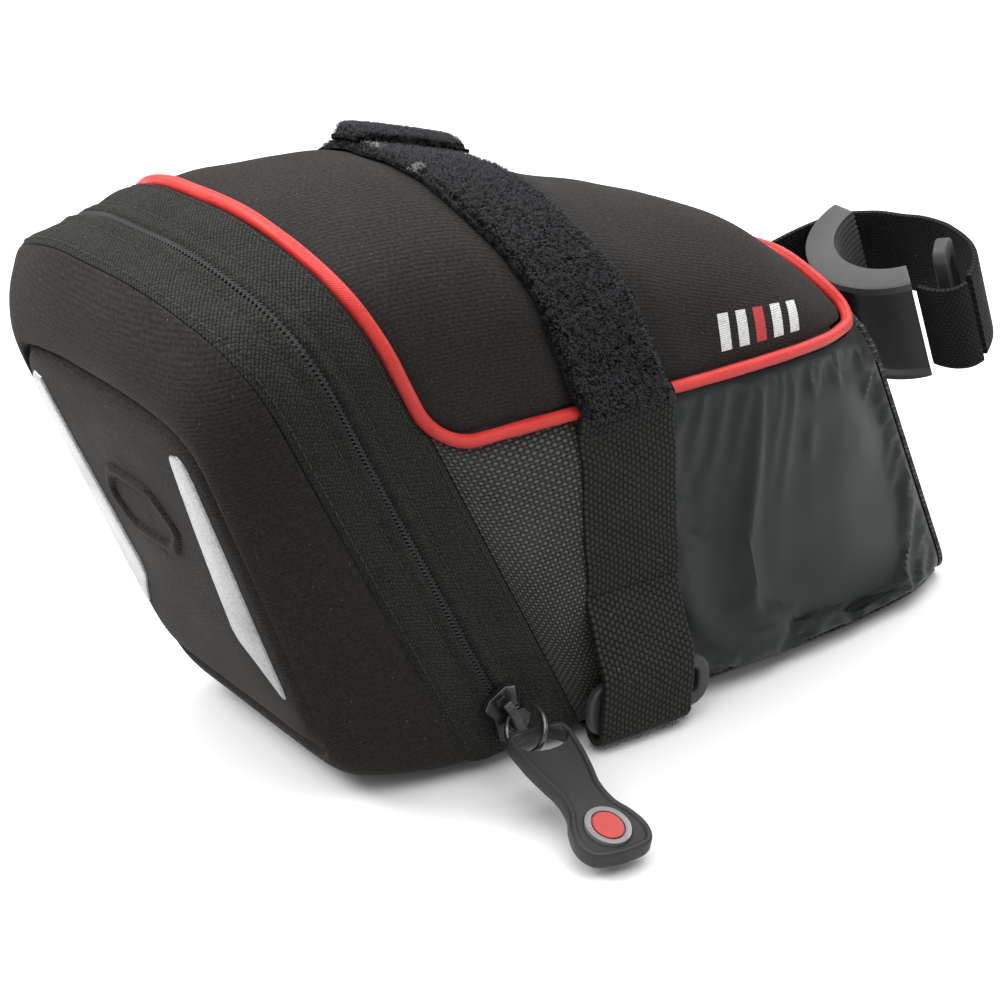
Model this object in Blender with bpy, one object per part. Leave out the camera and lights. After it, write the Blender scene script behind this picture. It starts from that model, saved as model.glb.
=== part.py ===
"""Zip-round saddle bag: moulded hinged rear shell, rail strap and seatpost loop.

+Y is forwards (towards the seatpost), +X is the right side, +Z is up.
The flat base lies on z = 0. Lengths below are in millimetres.
"""

import math

import bmesh
import bpy
import numpy as np

MM = 0.001

# The body is lofted from cross-sections that lean back: y = station - LEAN * z.
LEAN = 0.54
SEAM = -65.4  # station of the seam between the shell and its zip tape
ZIP = -51.7  # station of the zip line
TAPE = -35.6  # station of the body tape's front edge
FRONT = 94.0  # station of the front panel
SECTION_STATIONS = (-65.4, -50.0, -36.0, 0.0, 40.0, 75.0, 94.0)
HALF_BOTTOM = (40.0, 40.5, 40.5, 40.0, 39.0, 34.0, 26.0)
HALF_SIDE = (47.5, 46.0, 44.5, 43.0, 43.0, 39.0, 31.0)
HALF_SHOULDER = (52.5, 50.5, 47.5, 43.0, 37.0, 31.0, 24.5)
SHOULDER_HEIGHT = (104.0, 108.0, 110.5, 108.5, 99.0, 92.0, 82.0)
CREST_HEIGHT = (113.0, 118.5, 123.0, 125.5, 115.5, 104.5, 90.5)
SIDE_HEIGHT = 72.0
BOTTOM_RADIUS = 9.0
SIDE_RADIUS = 16.0
SHOULDER_RADIUS = 15.0
PIPING_HEIGHT = 77.5
SIDE_END = 1.997  # where the side panels stop, as a way round the section
SIDE_ARC = 76.0
CORNER_HEIGHT = 2.6  # where the side panels meet the bottom panel

GAP = 0.3
PIPING_RADIUS = 1.9
PIPING_DEPTH = 0.3
PIPING_CORNER = 10.0
FRONT_CORNER = 6.0
PIPING_FRONT = FRONT - 0.6  # station of the piping across the front
PIPING_CLEAR = PIPING_RADIUS + 0.7  # from the piping's middle to the panels' edges
TAPE_THICK = 1.0
PANEL_THICK = 1.3
TOP_THICK = 3.0
BOTTOM_THICK = 3.4
SHELL_THICK = 3.0
LINING_DEPTH = 3.9
LINING_THICK = 0.7
COIL_HALF = 1.5  # half of the closed zip coil's width

# The rear face of the shell: a raised panel with rounded corners.
PLATE_HALF_BOTTOM = 33.0
PLATE_HALF_SIDE = 36.5
PLATE_HALF_TOP = 37.5
PLATE_BOTTOM = 14.0
PLATE_TOP = 89.5
PLATE_BACK = -95.0  # y of the raised panel at z = 0
PLATE_LEAN = 0.38
PLATE_STEP = 3.2
PLATE_DOME = 1.0  # how far the panel's middle stands out
REFLECTOR_THICK = 0.5

# The rail strap, 25 mm wide, passes over the top and down both sides.
STRAP_HALF = 12.5
STRAP_TOP = 16.0  # its station over the top panel
STRAP_SIDE = 12.0  # its station at the level of the piping
STRAP_BOTTOM = -21.5  # its station at the base
WEBBING_THICK = 1.4
BASE_WEBBING_THICK = 1.3
STRAP_CLEAR = 0.45  # from the body to the strap's underside
STRAP_RISE = 1.7  # more where the strap crosses the piping
PILE_THICK = 1.9
RECESS_DEPTH = 1.9
RECESS_HALF = 13.4

FLAP_FOLD = -0.32  # where the strap doubles back over the top, as a way round the section
FLAP_END = -0.06

BUCKLE_OUT = 5.4  # from the bag's side to the buckle's middle
BUCKLE_HEIGHT = 9.3
BUCKLE_THICK = 2.4
BUCKLE_SIZE = (34.0, 12.6)
BUCKLE_SLOT = (27.4, 6.4)

# The rubber seatpost pad and the strap loop round it.
POST_RADIUS = 15.4
PAD_FLANGE_RADIUS = 23.3
PAD_WALL = 3.6
PAD_LIP = 2.4  # how far the lower flange stands out from the wall
PAD_HEIGHT = 32.0
PAD_HALF_ANGLE = math.radians(72.0)
PAD_CENTRE = (0.0, 93.3, 86.5)
PAD_YAW = math.radians(-21.3)
PAD_PITCH = math.radians(25.8)
PAD_ROLL = math.radians(4.2)
LOOP_THICK = 1.6
LOOP_WIDTH = 25.0
LOOP_DROP = 3.5  # from the pad's top down to the loop's upper edge
# The loop seen along the post, across and forwards from the pad's axis.
LOOP_FAR = (
    (-13.0, -40.0), (-19.0, -35.0), (-22.6, -26.0), (-23.2, -14.0), (-20.9, -5.0), (-12.2, 4.0),
    (-1.0, 11.2), (6.0, 12.8), (13.5, 13.2), (20.0, 10.8), (25.0, 6.4),
)
LOOP_NEAR = (
    (26.6, 4.9), (27.0, 3.0), (26.6, 0.6), (24.8, -2.0), (22.3, -3.9), (20.1, -5.0),
)
LOOP_BUCKLE = (16.8, 4.4, -15.0)  # middle of the loop's buckle
LOOP_BUCKLE_SIZE = (9.0, 36.0)
LOOP_BUCKLE_SLOT = (3.6, 26.0)
LOOP_BUCKLE_THICK = 3.6

BASE_WAYS = [2.003 + 1.994 * k / 16 for k in range(17)]  # across the bottom panel

SLIDER_HEIGHT = 14.5  # z of the slider's middle on the right leg of the zip
SLIDER_LENGTH = 13.0
SLIDER_WIDTH = 9.0
SLIDER_LIFT = 0.6  # from the tape's face to the slider's plate
SLIDER_THICK = 1.6
BRIDGE_HALF = 5.0  # half of the bridge's length
BRIDGE_TOP = 5.7  # its height over the tape
BRIDGE_WIDTH = 2.0
RING_LIFT = 3.1  # height over the tape at which the ring passes through the bridge
RING_HALF_LONG = 5.9
RING_HALF_WIDE = 5.1
PULL_WIRE = 0.65
TAB_LENGTH = 38.0
TAB_THICK = 3.8
# Half width of the rubber tab along it, from its eye end.
TAB_HALF = (
    (0.0, 6.2), (1.2, 6.9), (8.0, 6.9), (14.0, 6.0), (19.0, 5.0), (24.0, 5.4),
    (28.0, 7.2), (32.0, 8.1), (35.5, 7.4), (37.4, 5.2), (TAB_LENGTH, 2.4),
)
TAB_EYE = 3.7  # along the tab to the middle of its eye
TAB_HANG = 3.5  # along the tab to the ring's wire
EYE_SIZE = (2.9, 5.8)  # half length and half width of the eye
BADGE = 30.5  # along the tab to the middle of the badge
BADGE_SIZE = (5.2, 4.6)  # half length and half width of the badge's frame
INSERT_SIZE = (3.7, 3.1)
POCKET_HALF = 33.0
POCKET_BOTTOM = 30.0
POCKET_TOP = 78.0
POCKET_LEAN = 0.45
# Right half of the base board, as x and y.
BOARD_OUTLINE = (
    (32.0, -42.0), (33.0, -38.0), (32.0, 40.0), (26.0, 78.0), (22.0, 82.0),
)

BLACK_KNIT = ((0.030, 0.028, 0.027), 0.85, 0.0)
BLACK_TWILL = ((0.025, 0.025, 0.026), 0.9, 0.0)
BLACK_WEAVE = ((0.035, 0.036, 0.038), 0.7, 0.0)
SLATE = ((0.030, 0.042, 0.044), 0.55, 0.0)
CORAL = ((0.78, 0.07, 0.06), 0.4, 0.0)
PILE = ((0.02, 0.02, 0.022), 1.0, 0.0)
WEBBING = ((0.015, 0.015, 0.015), 0.9, 0.0)
RUBBER = ((0.06, 0.06, 0.062), 0.6, 0.0)
PLASTIC = ((0.10, 0.10, 0.10), 0.45, 0.0)
BLACK_METAL = ((0.03, 0.03, 0.032), 0.3, 0.8)
SILVER = ((0.42, 0.43, 0.45), 0.45, 0.0)
GREY = ((0.25, 0.25, 0.26), 0.5, 0.0)


def clear_scene():
    for obj in list(bpy.data.objects):
        bpy.data.objects.remove(obj, do_unlink=True)


def material(name, look):
    colour, roughness, metallic = look
    made = bpy.data.materials.new(name)
    made.use_nodes = True
    shader = made.node_tree.nodes["Principled BSDF"]
    shader.inputs["Base Color"].default_value = (*colour, 1.0)
    shader.inputs["Roughness"].default_value = roughness
    shader.inputs["Metallic"].default_value = metallic
    return made


def node(name, vertices, faces, look):
    """One closed body from points in millimetres, facing out."""
    mesh = bpy.data.meshes.new(name)
    mesh.from_pydata([tuple(float(c) * MM for c in v) for v in vertices], [], faces)
    made = bmesh.new()
    made.from_mesh(mesh)
    bmesh.ops.recalc_face_normals(made, faces=made.faces)
    if made.calc_volume(signed=True) < 0:
        bmesh.ops.reverse_faces(made, faces=made.faces)
    made.to_mesh(mesh)
    made.free()
    mesh.shade_smooth()
    mesh.set_sharp_from_angle(angle=math.radians(35))
    obj = bpy.data.objects.new(name, mesh)
    obj.data.materials.append(material(name, look))
    bpy.context.collection.objects.link(obj)
    return obj


def eased(values, station):
    """Smooth value between the loft's stations."""
    x = SECTION_STATIONS
    if station <= x[0]:
        return values[0]
    if station >= x[-1]:
        return values[-1]
    i = max(k for k in range(len(x) - 1) if x[k] <= station)
    step = x[i + 1] - x[i]
    u = (station - x[i]) / step

    def slope(k):
        low, high = max(k - 1, 0), min(k + 1, len(x) - 1)
        return (values[high] - values[low]) / (x[high] - x[low]) * step

    a, b = slope(i), slope(i + 1)
    return (
        (2 * u**3 - 3 * u**2 + 1) * values[i]
        + (u**3 - 2 * u**2 + u) * a
        + (3 * u**2 - 2 * u**3) * values[i + 1]
        + (u**3 - u**2) * b
    )


def rounded(corners, steps=8):
    """Polyline through (x, z, radius) corners, each rounded by a parabola."""
    line = [np.array(corners[0][:2], float)]
    for before, here, after in zip(corners, corners[1:], corners[2:]):
        p = np.array(here[:2], float)
        back = np.array(before[:2], float) - p
        on = np.array(after[:2], float) - p
        start = p + back / np.linalg.norm(back) * here[2]
        end = p + on / np.linalg.norm(on) * here[2]
        for k in range(steps + 1):
            t = k / steps
            line.append((1 - t) ** 2 * start + 2 * t * (1 - t) * p + t * t * end)
    line.append(np.array(corners[-1][:2], float))
    return np.array(line)


def body_outline(station):
    """Right half of a cross-section as (x, z), from bottom centre to crest."""
    bottom = eased(HALF_BOTTOM, station)
    side = eased(HALF_SIDE, station)
    shoulder = eased(HALF_SHOULDER, station)
    height = eased(SHOULDER_HEIGHT, station)
    crest = eased(CREST_HEIGHT, station)
    slope = math.hypot(0.55 * shoulder, crest - height)
    upright = math.hypot(side - shoulder, height - SIDE_HEIGHT)
    return rounded(
        [
            (0, 0, 0),
            (bottom, 0, BOTTOM_RADIUS),
            (side, SIDE_HEIGHT, min(SIDE_RADIUS, 0.5 * upright)),
            (shoulder, height, min(SHOULDER_RADIUS, 0.48 * slope, 0.48 * upright)),
            (0.45 * shoulder, crest, min(0.48 * slope, 0.4 * shoulder)),
            (0, crest, 0),
        ]
    )


def plate_outline(inset):
    """Right half of the raised rear panel's outline."""
    return rounded(
        [
            (0, PLATE_BOTTOM + inset, 0),
            (PLATE_HALF_BOTTOM - inset, PLATE_BOTTOM + inset, 8),
            (PLATE_HALF_SIDE - inset, 0.5 * (PLATE_BOTTOM + PLATE_TOP), 20),
            (PLATE_HALF_TOP - inset, PLATE_TOP - 3 - inset, 9),
            (0.45 * PLATE_HALF_TOP, PLATE_TOP - inset, 0.27 * PLATE_HALF_TOP),
            (0, PLATE_TOP - inset, 0),
        ]
    )


def along(line, start, end, share):
    """Point at a share of the arc length between two places on a polyline."""
    steps = np.linalg.norm(np.diff(line, axis=0), axis=1)
    length = np.concatenate([[0], np.cumsum(steps)])
    want = length[-1] * (start + (end - start) * share)
    return np.array([np.interp(want, length, line[:, k]) for k in (0, 1)])


def landmark(line, height):
    """Share of the arc length at which the side of the outline reaches a height."""
    steps = np.linalg.norm(np.diff(line, axis=0), axis=1)
    length = np.concatenate([[0], np.cumsum(steps)])
    k = int(np.argmax(line[:, 1] > height))
    low, high = line[k - 1, 1], line[k, 1]
    part = (height - low) / (high - low)
    return (length[k - 1] + part * (length[k] - length[k - 1])) / length[-1]


def skin(station, way):
    """Point of the body's outer surface.

    way goes round the section: 0 crest, 1 right piping, 2 right bottom edge,
    3 bottom centre, then the left side up to 6, which is the crest again.
    """
    way = way % 6.0
    side = 1.0
    if way > 3.0:
        way = 6.0 - way
        side = -1.0
    line = body_outline(station)
    piping = landmark(line, PIPING_HEIGHT)
    corner = landmark(line, CORNER_HEIGHT)
    if way <= 1.0:
        x, z = along(line, 1.0, piping, way)
    elif way <= 2.0:
        x, z = along(line, piping, corner, way - 1.0)
    else:
        x, z = along(line, corner, 0.0, way - 2.0)
    return np.array([side * x, station - LEAN * z, z])


def inside(station, way, depth):
    """Point that lies this deep under the outer surface."""
    d_way = skin(station, way + 0.03) - skin(station, way - 0.03)
    d_station = skin(min(station + 1.0, FRONT), way) - skin(station - 1.0, way)
    normal = np.cross(d_way, d_station)
    normal /= np.linalg.norm(normal)
    point = skin(station, way)
    if np.dot(normal, point - np.array([0, point[1], 50.0])) < 0:
        normal = -normal
    return point - normal * depth


def shell_between(name, outer, inner, look, closed=False):
    """Solid between two equal grids of points."""
    rows, columns = len(outer), len(outer[0])
    vertices = [p for row in outer for p in row] + [p for row in inner for p in row]
    below = rows * columns
    faces = []
    last = columns if closed else columns - 1
    for i in range(rows - 1):
        for j in range(last):
            k = (j + 1) % columns
            quad = (i * columns + j, i * columns + k, (i + 1) * columns + k, (i + 1) * columns + j)
            faces.append(quad)
            faces.append(tuple(below + v for v in reversed(quad)))
    for j in range(last):
        k = (j + 1) % columns
        faces.append((j, below + j, below + k, k))
        top = (rows - 1) * columns
        faces.append((top + j, top + k, below + top + k, below + top + j))
    if not closed:
        for i in range(rows - 1):
            a, b = i * columns, (i + 1) * columns
            faces.append((a, b, below + b, below + a))
            a, b = a + columns - 1, b + columns - 1
            faces.append((a, below + a, below + b, b))
    return node(name, vertices, faces, look)


def panel(name, stations, ways, depths, look, trim=None):
    """Panel of the body skin: stations by ways, between two depths.

    stations and trim may be functions; trim narrows each row's span of ways.
    """
    outer, inner = [], []
    for share_s in stations:
        outer_row, inner_row = [], []
        for way in ways:
            station = share_s(way) if callable(share_s) else share_s
            turned = trim(station, way) if trim else way
            outer_row.append(inside(station, turned, depths[0]))
            inner_row.append(inside(station, turned, depths[1]))
        outer.append(outer_row)
        inner.append(inner_row)
    return shell_between(name, outer, inner, look)


def spread(start, end, count):
    return [start + (end - start) * k / (count - 1) for k in range(count)]


def half_arc(station):
    """Length over the top panel from the crest to the piping."""
    line = body_outline(station)
    total = float(np.linalg.norm(np.diff(line, axis=0), axis=1).sum())
    return total * (1.0 - landmark(line, PIPING_HEIGHT))


def drawn_in(station, side):
    """How far a panel's edge lies above the piping's level near a rounded corner.

    side is +1 for the top panel inside the piping and -1 for the panels outside it.
    """
    at_rear = station - TAPE < FRONT - station
    corner = PIPING_CORNER if at_rear else FRONT_CORNER
    from_end = station - TAPE if at_rear else PIPING_FRONT - station
    radius = corner - side * PIPING_CLEAR
    if from_end >= corner:
        return side * PIPING_CLEAR
    return corner - math.sqrt(max(radius**2 - (corner - max(from_end, 0.0)) ** 2, 0.0))


def corner_trim(station, way):
    """Rounds the top panel's four corners by drawing its rows in near each end."""
    return way * (1.0 - drawn_in(station, 1) / half_arc(station))


def side_trim(station, way):
    """Lets a side panel's top edge follow the piping round its corners."""
    start = 1.0 - drawn_in(station, -1) / half_arc(station)
    if start > 1.0:
        start = 1.0 + (start - 1.0) * half_arc(station) / SIDE_ARC
    share = abs(way) - 1.0
    return math.copysign(start + (SIDE_END - start) * share, way)


def rear_row(share):
    """Row of a rear side panel: its station as a function of the way round."""

    def station(way):
        start = TAPE + GAP
        return start + (strap_station(way) - GAP / 2 - start) * share

    return station


def front_row(share):
    """Row of a front side panel: its station as a function of the way round."""

    def station(way):
        start = strap_station(way) + GAP / 2
        return start + (FRONT - GAP - strap_station(way) - GAP / 2) * share

    return station


def add_body():
    rows = [TAPE + PIPING_CLEAR + 0.1, TAPE + 3.5, TAPE + 6, TAPE + 10, TAPE + 14]
    rows += spread(TAPE + 22, FRONT - 13, 10)
    rows += [FRONT - 9, FRONT - 6, FRONT - 4.5, PIPING_FRONT - PIPING_CLEAR - 0.1]
    panel("top_panel", rows, spread(-1, 1, 33), (0, TOP_THICK), BLACK_KNIT, corner_trim)

    for side, name in ((1, "right"), (-1, "left")):
        ways = [side * w for w in spread(1.0, 2.0, 11)]

        rear = [rear_row(share) for share in (0, 0.06, 0.13, 0.22, 0.4, 0.6, 0.8, 1)]
        front = [front_row(share) for share in spread(0, 0.9, 9) + [0.93, 0.965, 1]]
        panel(f"side_panel_rear_{name}", rear, ways, (0, PANEL_THICK), BLACK_WEAVE, side_trim)
        panel(f"side_panel_front_{name}", front, ways, (0, PANEL_THICK), SLATE, side_trim)


def strap_station(way):
    """Station of the rail strap's middle line at a place round the section."""
    way = abs(way)
    if way <= 0.6:
        return STRAP_TOP
    if way <= 1.0:
        return STRAP_TOP + (STRAP_SIDE - STRAP_TOP) * (way - 0.6) / 0.4
    if way <= 2.0:
        return STRAP_SIDE + (STRAP_BOTTOM - STRAP_SIDE) * (way - 1.0)
    return STRAP_BOTTOM


def add_bottom():
    """Base with a shallow channel, so that the strap under it lies clear of the floor."""
    ways = BASE_WAYS
    low, high = STRAP_BOTTOM - RECESS_HALF, STRAP_BOTTOM + RECESS_HALF
    rows = [(TAPE - 3.9, 0), (low - 0.9, 0), (low, RECESS_DEPTH)]
    rows += [(high, RECESS_DEPTH), (high + 0.9, 0)]
    rows += [(s, 0) for s in spread(5, FRONT - 2.6, 8)]
    outer = [[inside(s, w, depth) for w in ways] for s, depth in rows]
    inner = [[inside(s, w, BOTTOM_THICK) for w in ways] for s, _ in rows]
    shell_between("bottom_panel", outer, inner, BLACK_WEAVE)


def monotone(outline):
    """The outline's points whose height keeps rising."""
    kept = [outline[0]]
    for point in outline[1:]:
        if point[1] > kept[-1][1] + 1e-6:
            kept.append(point)
    return np.array(kept)


def add_front():
    """Front panel: fills the front section up to the piping, bulging a little."""
    outline = monotone(body_outline(FRONT))
    crest = eased(CREST_HEIGHT, FRONT)
    low, shoulder = 0.4, PIPING_HEIGHT - PIPING_CLEAR - GAP
    under_piping = shrink(outline, PIPING_CLEAR + GAP)
    upper = under_piping[under_piping[:, 1] > shoulder][::-1]
    widest = np.interp(shoulder, outline[:, 1], outline[:, 0])
    outer, inner = [], []
    for share in [0, 0.01, 0.03, 0.06] + spread(0.13, 0.9, 9) + [0.95, 1]:
        half = np.interp(low + (shoulder - low) * share, outline[:, 1], outline[:, 0]) - 0.4
        row = []
        for across in spread(-1, 1, 15):
            top = np.interp(abs(across) * widest, upper[:, 0], upper[:, 1])
            z = low + (top - low) * share
            bulge = 1.5 * math.sin(math.pi * z / crest) * (1 - across**2)
            row.append(np.array([across * half, FRONT + 1.6 + bulge - LEAN * z, z]))
        outer.append(row)
        inner.append([point - np.array([0, PANEL_THICK, 0]) for point in row])
    shell_between("front_panel", outer, inner, BLACK_WEAVE)


def tube(name, path, radius, look, closed=True, sides=8):
    """Round cord along a path of points."""
    path = [np.array(p, float) for p in path]
    count = len(path)
    vertices, faces = [], []
    normal = None
    for i, p in enumerate(path):
        before = path[i - 1] if closed or i else p
        after = path[(i + 1) % count] if closed or i < count - 1 else p
        tangent = after - before
        tangent /= np.linalg.norm(tangent)
        if normal is None:
            guess = np.array([1.0, 0, 0]) if abs(tangent[0]) < 0.8 else np.array([0, 0, 1.0])
            normal = np.cross(tangent, guess)
        normal = normal - tangent * np.dot(normal, tangent)
        normal /= np.linalg.norm(normal)
        other = np.cross(tangent, normal)
        for k in range(sides):
            a = 2 * math.pi * k / sides
            vertices.append(p + radius * (math.cos(a) * normal + math.sin(a) * other))
    shift = 0
    if closed:
        first = vertices[0] - path[0]
        last = [vertices[(count - 1) * sides + k] - path[-1] for k in range(sides)]
        shift = int(np.argmax([np.dot(first, v) for v in last]))
    for i in range(count if closed else count - 1):
        turn = shift if i == count - 1 else 0
        for k in range(sides):
            a = i * sides + (k + turn) % sides
            b = i * sides + (k + 1 + turn) % sides
            c = (i + 1) % count * sides + (k + 1) % sides
            d = (i + 1) % count * sides + k
            faces.append((a, b, c, d))
    if not closed:
        faces.append(tuple(range(sides)))
        faces.append(tuple((count - 1) * sides + k for k in reversed(range(sides))))
    return node(name, vertices, faces, look)


def piping_path():
    """Closed line round the top panel, with rounded corners, as (station, way)."""
    line = []
    quarter = [math.radians(a) for a in (0, 18, 36, 54, 72, 90)]
    for end, radius, sign in ((TAPE, PIPING_CORNER, 1), (PIPING_FRONT, FRONT_CORNER, -1)):
        right = []
        for a in quarter:
            station = end + sign * radius * (1 - math.cos(a))
            way = 1.0 - radius * (1 - math.sin(a)) / half_arc(station)
            right.append((station, way))
        line.append(right)
    rear, front = line
    arch = [(TAPE, w) for w in spread(-rear[0][1], rear[0][1], 23)[1:-1]]
    path = list(arch) + rear
    path += [(s, 1.0) for s in spread(rear[-1][0], front[-1][0], 16)[1:-1]]
    path += front[::-1]
    path += [(PIPING_FRONT, w) for w in spread(front[0][1], -front[0][1], 13)[1:-1]]
    path += [(s, -w) for s, w in front]
    path += [(s, -1.0) for s in spread(front[-1][0], rear[-1][0], 16)[1:-1]]
    path += [(s, -w) for s, w in rear[::-1]]
    return path


def add_piping():
    path = [inside(s, w, PIPING_DEPTH) for s, w in piping_path()]
    tube("piping", path, PIPING_RADIUS, CORAL, sides=8)


def add_zip():
    """Two tapes and two coils that part along the zip line."""
    leg = 1.993
    ways = spread(-leg, leg, 65)
    gap = COIL_HALF + 0.15

    def tape_front(way):
        """The tape's edge runs beside the piping, and forwards of it below its corner."""
        above = (1.0 - abs(way)) * half_arc(TAPE)
        if above >= PIPING_CORNER:
            return TAPE - PIPING_CLEAR
        if above <= 0.0:
            return TAPE
        outside = (PIPING_CORNER + PIPING_CLEAR) ** 2 - (PIPING_CORNER - above) ** 2
        return min(TAPE, TAPE + PIPING_CORNER - math.sqrt(outside))

    body_rows = [ZIP + gap, ZIP + 6, ZIP + 10, tape_front]
    panel("zip_tape_body", body_rows, ways, (0, TAPE_THICK), BLACK_TWILL)
    lid_rows = [SEAM + 0.5, SEAM + 4.5, SEAM + 8.5, ZIP - gap]
    panel("zip_tape_lid", lid_rows, ways, (0, TAPE_THICK), BLACK_TWILL)
    coil = [0.35, 1.0, COIL_HALF]
    coil_ways = spread(-1.93, 1.93, 57)
    panel("zip_coil_body", [ZIP + c for c in coil[::2]], coil_ways, (-0.15, 1.4), BLACK_METAL)
    panel("zip_coil_lid", [ZIP - c for c in coil[::-2]], coil_ways, (-0.15, 1.4), BLACK_METAL)
    for side, name in ((1, "right"), (-1, "left")):
        stop_ways = [side * w for w in (1.945, 1.965)]
        stop_rows = [ZIP + 0.4, ZIP + COIL_HALF]
        panel(f"zip_stop_{name}", stop_rows, stop_ways, (-0.6, 1.4), BLACK_METAL)


def add_hinge():
    """Fabric hinge under the lid, fixed to the body."""
    ways = spread(2.01, 3.99, 15)
    rows = [ZIP + 0.6, ZIP + 4, TAPE - 4.3]
    panel("hinge_fabric", rows, ways, (0, TAPE_THICK), BLACK_TWILL)


def shell_rings():
    """Rings of the shell from its seam to the raised rear panel: (share, y0, lean, inset, drop)."""
    return [
        (0.0, SEAM, LEAN, 0.0, 0.0),
        (0.13, -73.5, 0.492, 0.0, 1.3),
        (0.37, -82.0, 0.456, 0.0, 4.0),
        (0.67, -89.3, 0.422, 0.0, 7.2),
        (0.90, -92.6, 0.396, 0.0, 6.2),
        (1.0, PLATE_BACK + PLATE_STEP, PLATE_LEAN, -1.5, 1.0),
        (1.0, PLATE_BACK + 0.7, PLATE_LEAN, 0.6, 0.0),
        (1.0, PLATE_BACK, PLATE_LEAN, 3.0, 0.0),
    ]


def full_ring(half):
    """Whole outline from its right half, bottom centre first."""
    left = (half * np.array([-1, 1]))[::-1]
    return np.vstack([half, left[1:-1]])


def ring_points(half, y0, lean):
    ring = full_ring(half)
    return [np.array([x, y0 - lean * z, z]) for x, z in ring]


def resampled(line, shares):
    return np.array([along(line, 0.0, 1.0, s) for s in shares])


def shrink(line, amount):
    """Outline moved inwards by an amount."""
    d = np.gradient(line, axis=0)
    normal = np.stack([d[:, 1], -d[:, 0]], axis=1)
    normal /= np.linalg.norm(normal, axis=1)[:, None]
    moved = line - normal * amount
    moved[0, 0] = 0.0
    moved[-1, 0] = 0.0
    return moved


def shell_skin(inset_by, step_rows):
    """Rows of points from the seam to the middle of the rear face."""
    shares = [0, 0.12, 0.2, 0.235, 0.27, 0.3, 0.33, 0.37, 0.42, 0.48, 0.54, 0.6, 0.65, 0.69]
    shares += [0.72, 0.75, 0.78, 0.81, 0.85, 0.9, 0.95, 1.0]
    seam_half = resampled(body_outline(SEAM), shares)
    rows = []
    rings = shell_rings()
    if not step_rows:
        rings = rings[:5]
    for share, y0, lean, inset, drop in rings:
        plate = resampled(plate_outline(inset), shares)
        half = seam_half * (1 - share) + plate * share
        half[:, 1] -= drop * np.clip(1 - half[:, 1] / 45.0, 0, 1)
        if inset_by:
            half = shrink(half, inset_by)
        forward = 0.0 if share == 0.0 else inset_by
        rows.append(ring_points(half, y0 + forward, lean))
    last_y0, last_lean = rings[-1][1] + inset_by, rings[-1][2]
    outline = resampled(plate_outline(3.0 if step_rows else 0.5), shares)
    outline = shrink(outline, inset_by) if inset_by else outline
    middle = 0.5 * (PLATE_BOTTOM + PLATE_TOP)
    for scale in (0.7, 0.35):
        centred = (outline - [0, middle]) * scale + [0, middle]
        rows.append(ring_points(centred, last_y0 - PLATE_DOME * (1 - scale**2), last_lean))
    tip = np.array([0.0, last_y0 - PLATE_DOME - last_lean * middle, middle])
    return rows, tip


def cup(name, outer, outer_tip, inner, inner_tip, look):
    """Bowl-shaped solid: outer rows to a tip, inner rows to a tip, joined at the rim."""
    vertices, faces = [], []

    def add_rows(rows, tip, flip):
        starts = []
        for row in rows:
            starts.append(len(vertices))
            vertices.extend(row)
        count = len(rows[0])
        for a, b in zip(starts, starts[1:]):
            for j in range(count):
                k = (j + 1) % count
                quad = (a + j, a + k, b + k, b + j)
                faces.append(quad[::-1] if flip else quad)
        tip_index = len(vertices)
        vertices.append(tip)
        for j in range(count):
            tri = (starts[-1] + j, starts[-1] + (j + 1) % count, tip_index)
            faces.append(tri[::-1] if flip else tri)
        return starts[0], count

    a, count = add_rows(outer, outer_tip, False)
    b, _ = add_rows(inner, inner_tip, True)
    for j in range(count):
        k = (j + 1) % count
        faces.append((a + j, b + j, b + k, a + k))
    return node(name, vertices, faces, look)


def add_shell():
    outer, outer_tip = shell_skin(0.0, True)
    inner, inner_tip = shell_skin(SHELL_THICK, False)
    cup("rear_shell", outer, outer_tip, inner, inner_tip, BLACK_KNIT)
    lining, lining_tip = shell_skin(SHELL_THICK + 0.4, False)
    under, under_tip = shell_skin(SHELL_THICK + 0.4 + LINING_THICK, False)
    cup("lid_lining", lining, lining_tip, under, under_tip, SLATE)


def slab(name, outline, place, thick, look):
    """Flat prism: outline as (u, v) pairs, set in space by place(u, v, depth)."""
    count = len(outline)
    vertices = [place(u, v, 0.0) for u, v in outline]
    vertices += [place(u, v, thick) for u, v in outline]
    faces = [tuple(range(count)), tuple(range(2 * count - 1, count - 1, -1))]
    for k in range(count):
        n = (k + 1) % count
        faces.append((k, k + count, n + count, n))
    return node(name, vertices, faces, look)


def combine(solid, other, operation):
    """Joins a helper solid to this one, or cuts it away."""
    joined = solid.modifiers.new(other.name, "BOOLEAN")
    joined.operation = operation
    joined.solver = "EXACT"
    joined.object = other
    other.hide_render = True
    other.display_type = "WIRE"


def add_reflectors():
    blade = [  # x and z of the right blade
        (28.5, 82.5), (31.5, 83.2), (33.4, 81.8), (34.0, 78.0), (33.0, 60.0),
        (31.6, 42.0), (30.6, 28.0), (29.8, 25.2), (28.8, 26.5), (25.0, 31.5),
        (20.8, 36.3), (20.2, 39.5), (22.5, 53.0),
    ]
    tilt = math.hypot(1.0, PLATE_LEAN)

    for side, name in ((1, "right"), (-1, "left")):

        def place(x, z, depth, side=side):
            out = GAP + depth
            dome = 1.05 * PLATE_DOME * (1 - (x / PLATE_HALF_SIDE) ** 2)
            y = PLATE_BACK - PLATE_LEAN * z - out / tilt - dome
            return np.array([side * x, y, z - PLATE_LEAN * out / tilt])

        slab(f"reflector_{name}", blade, place, REFLECTOR_THICK, SILVER)


def over_piping(way):
    """Height of the strap's underside over the body: it rides over the piping."""
    return STRAP_CLEAR + STRAP_RISE * math.exp(-(((abs(way) - 1.0) / 0.07) ** 2))


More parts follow.
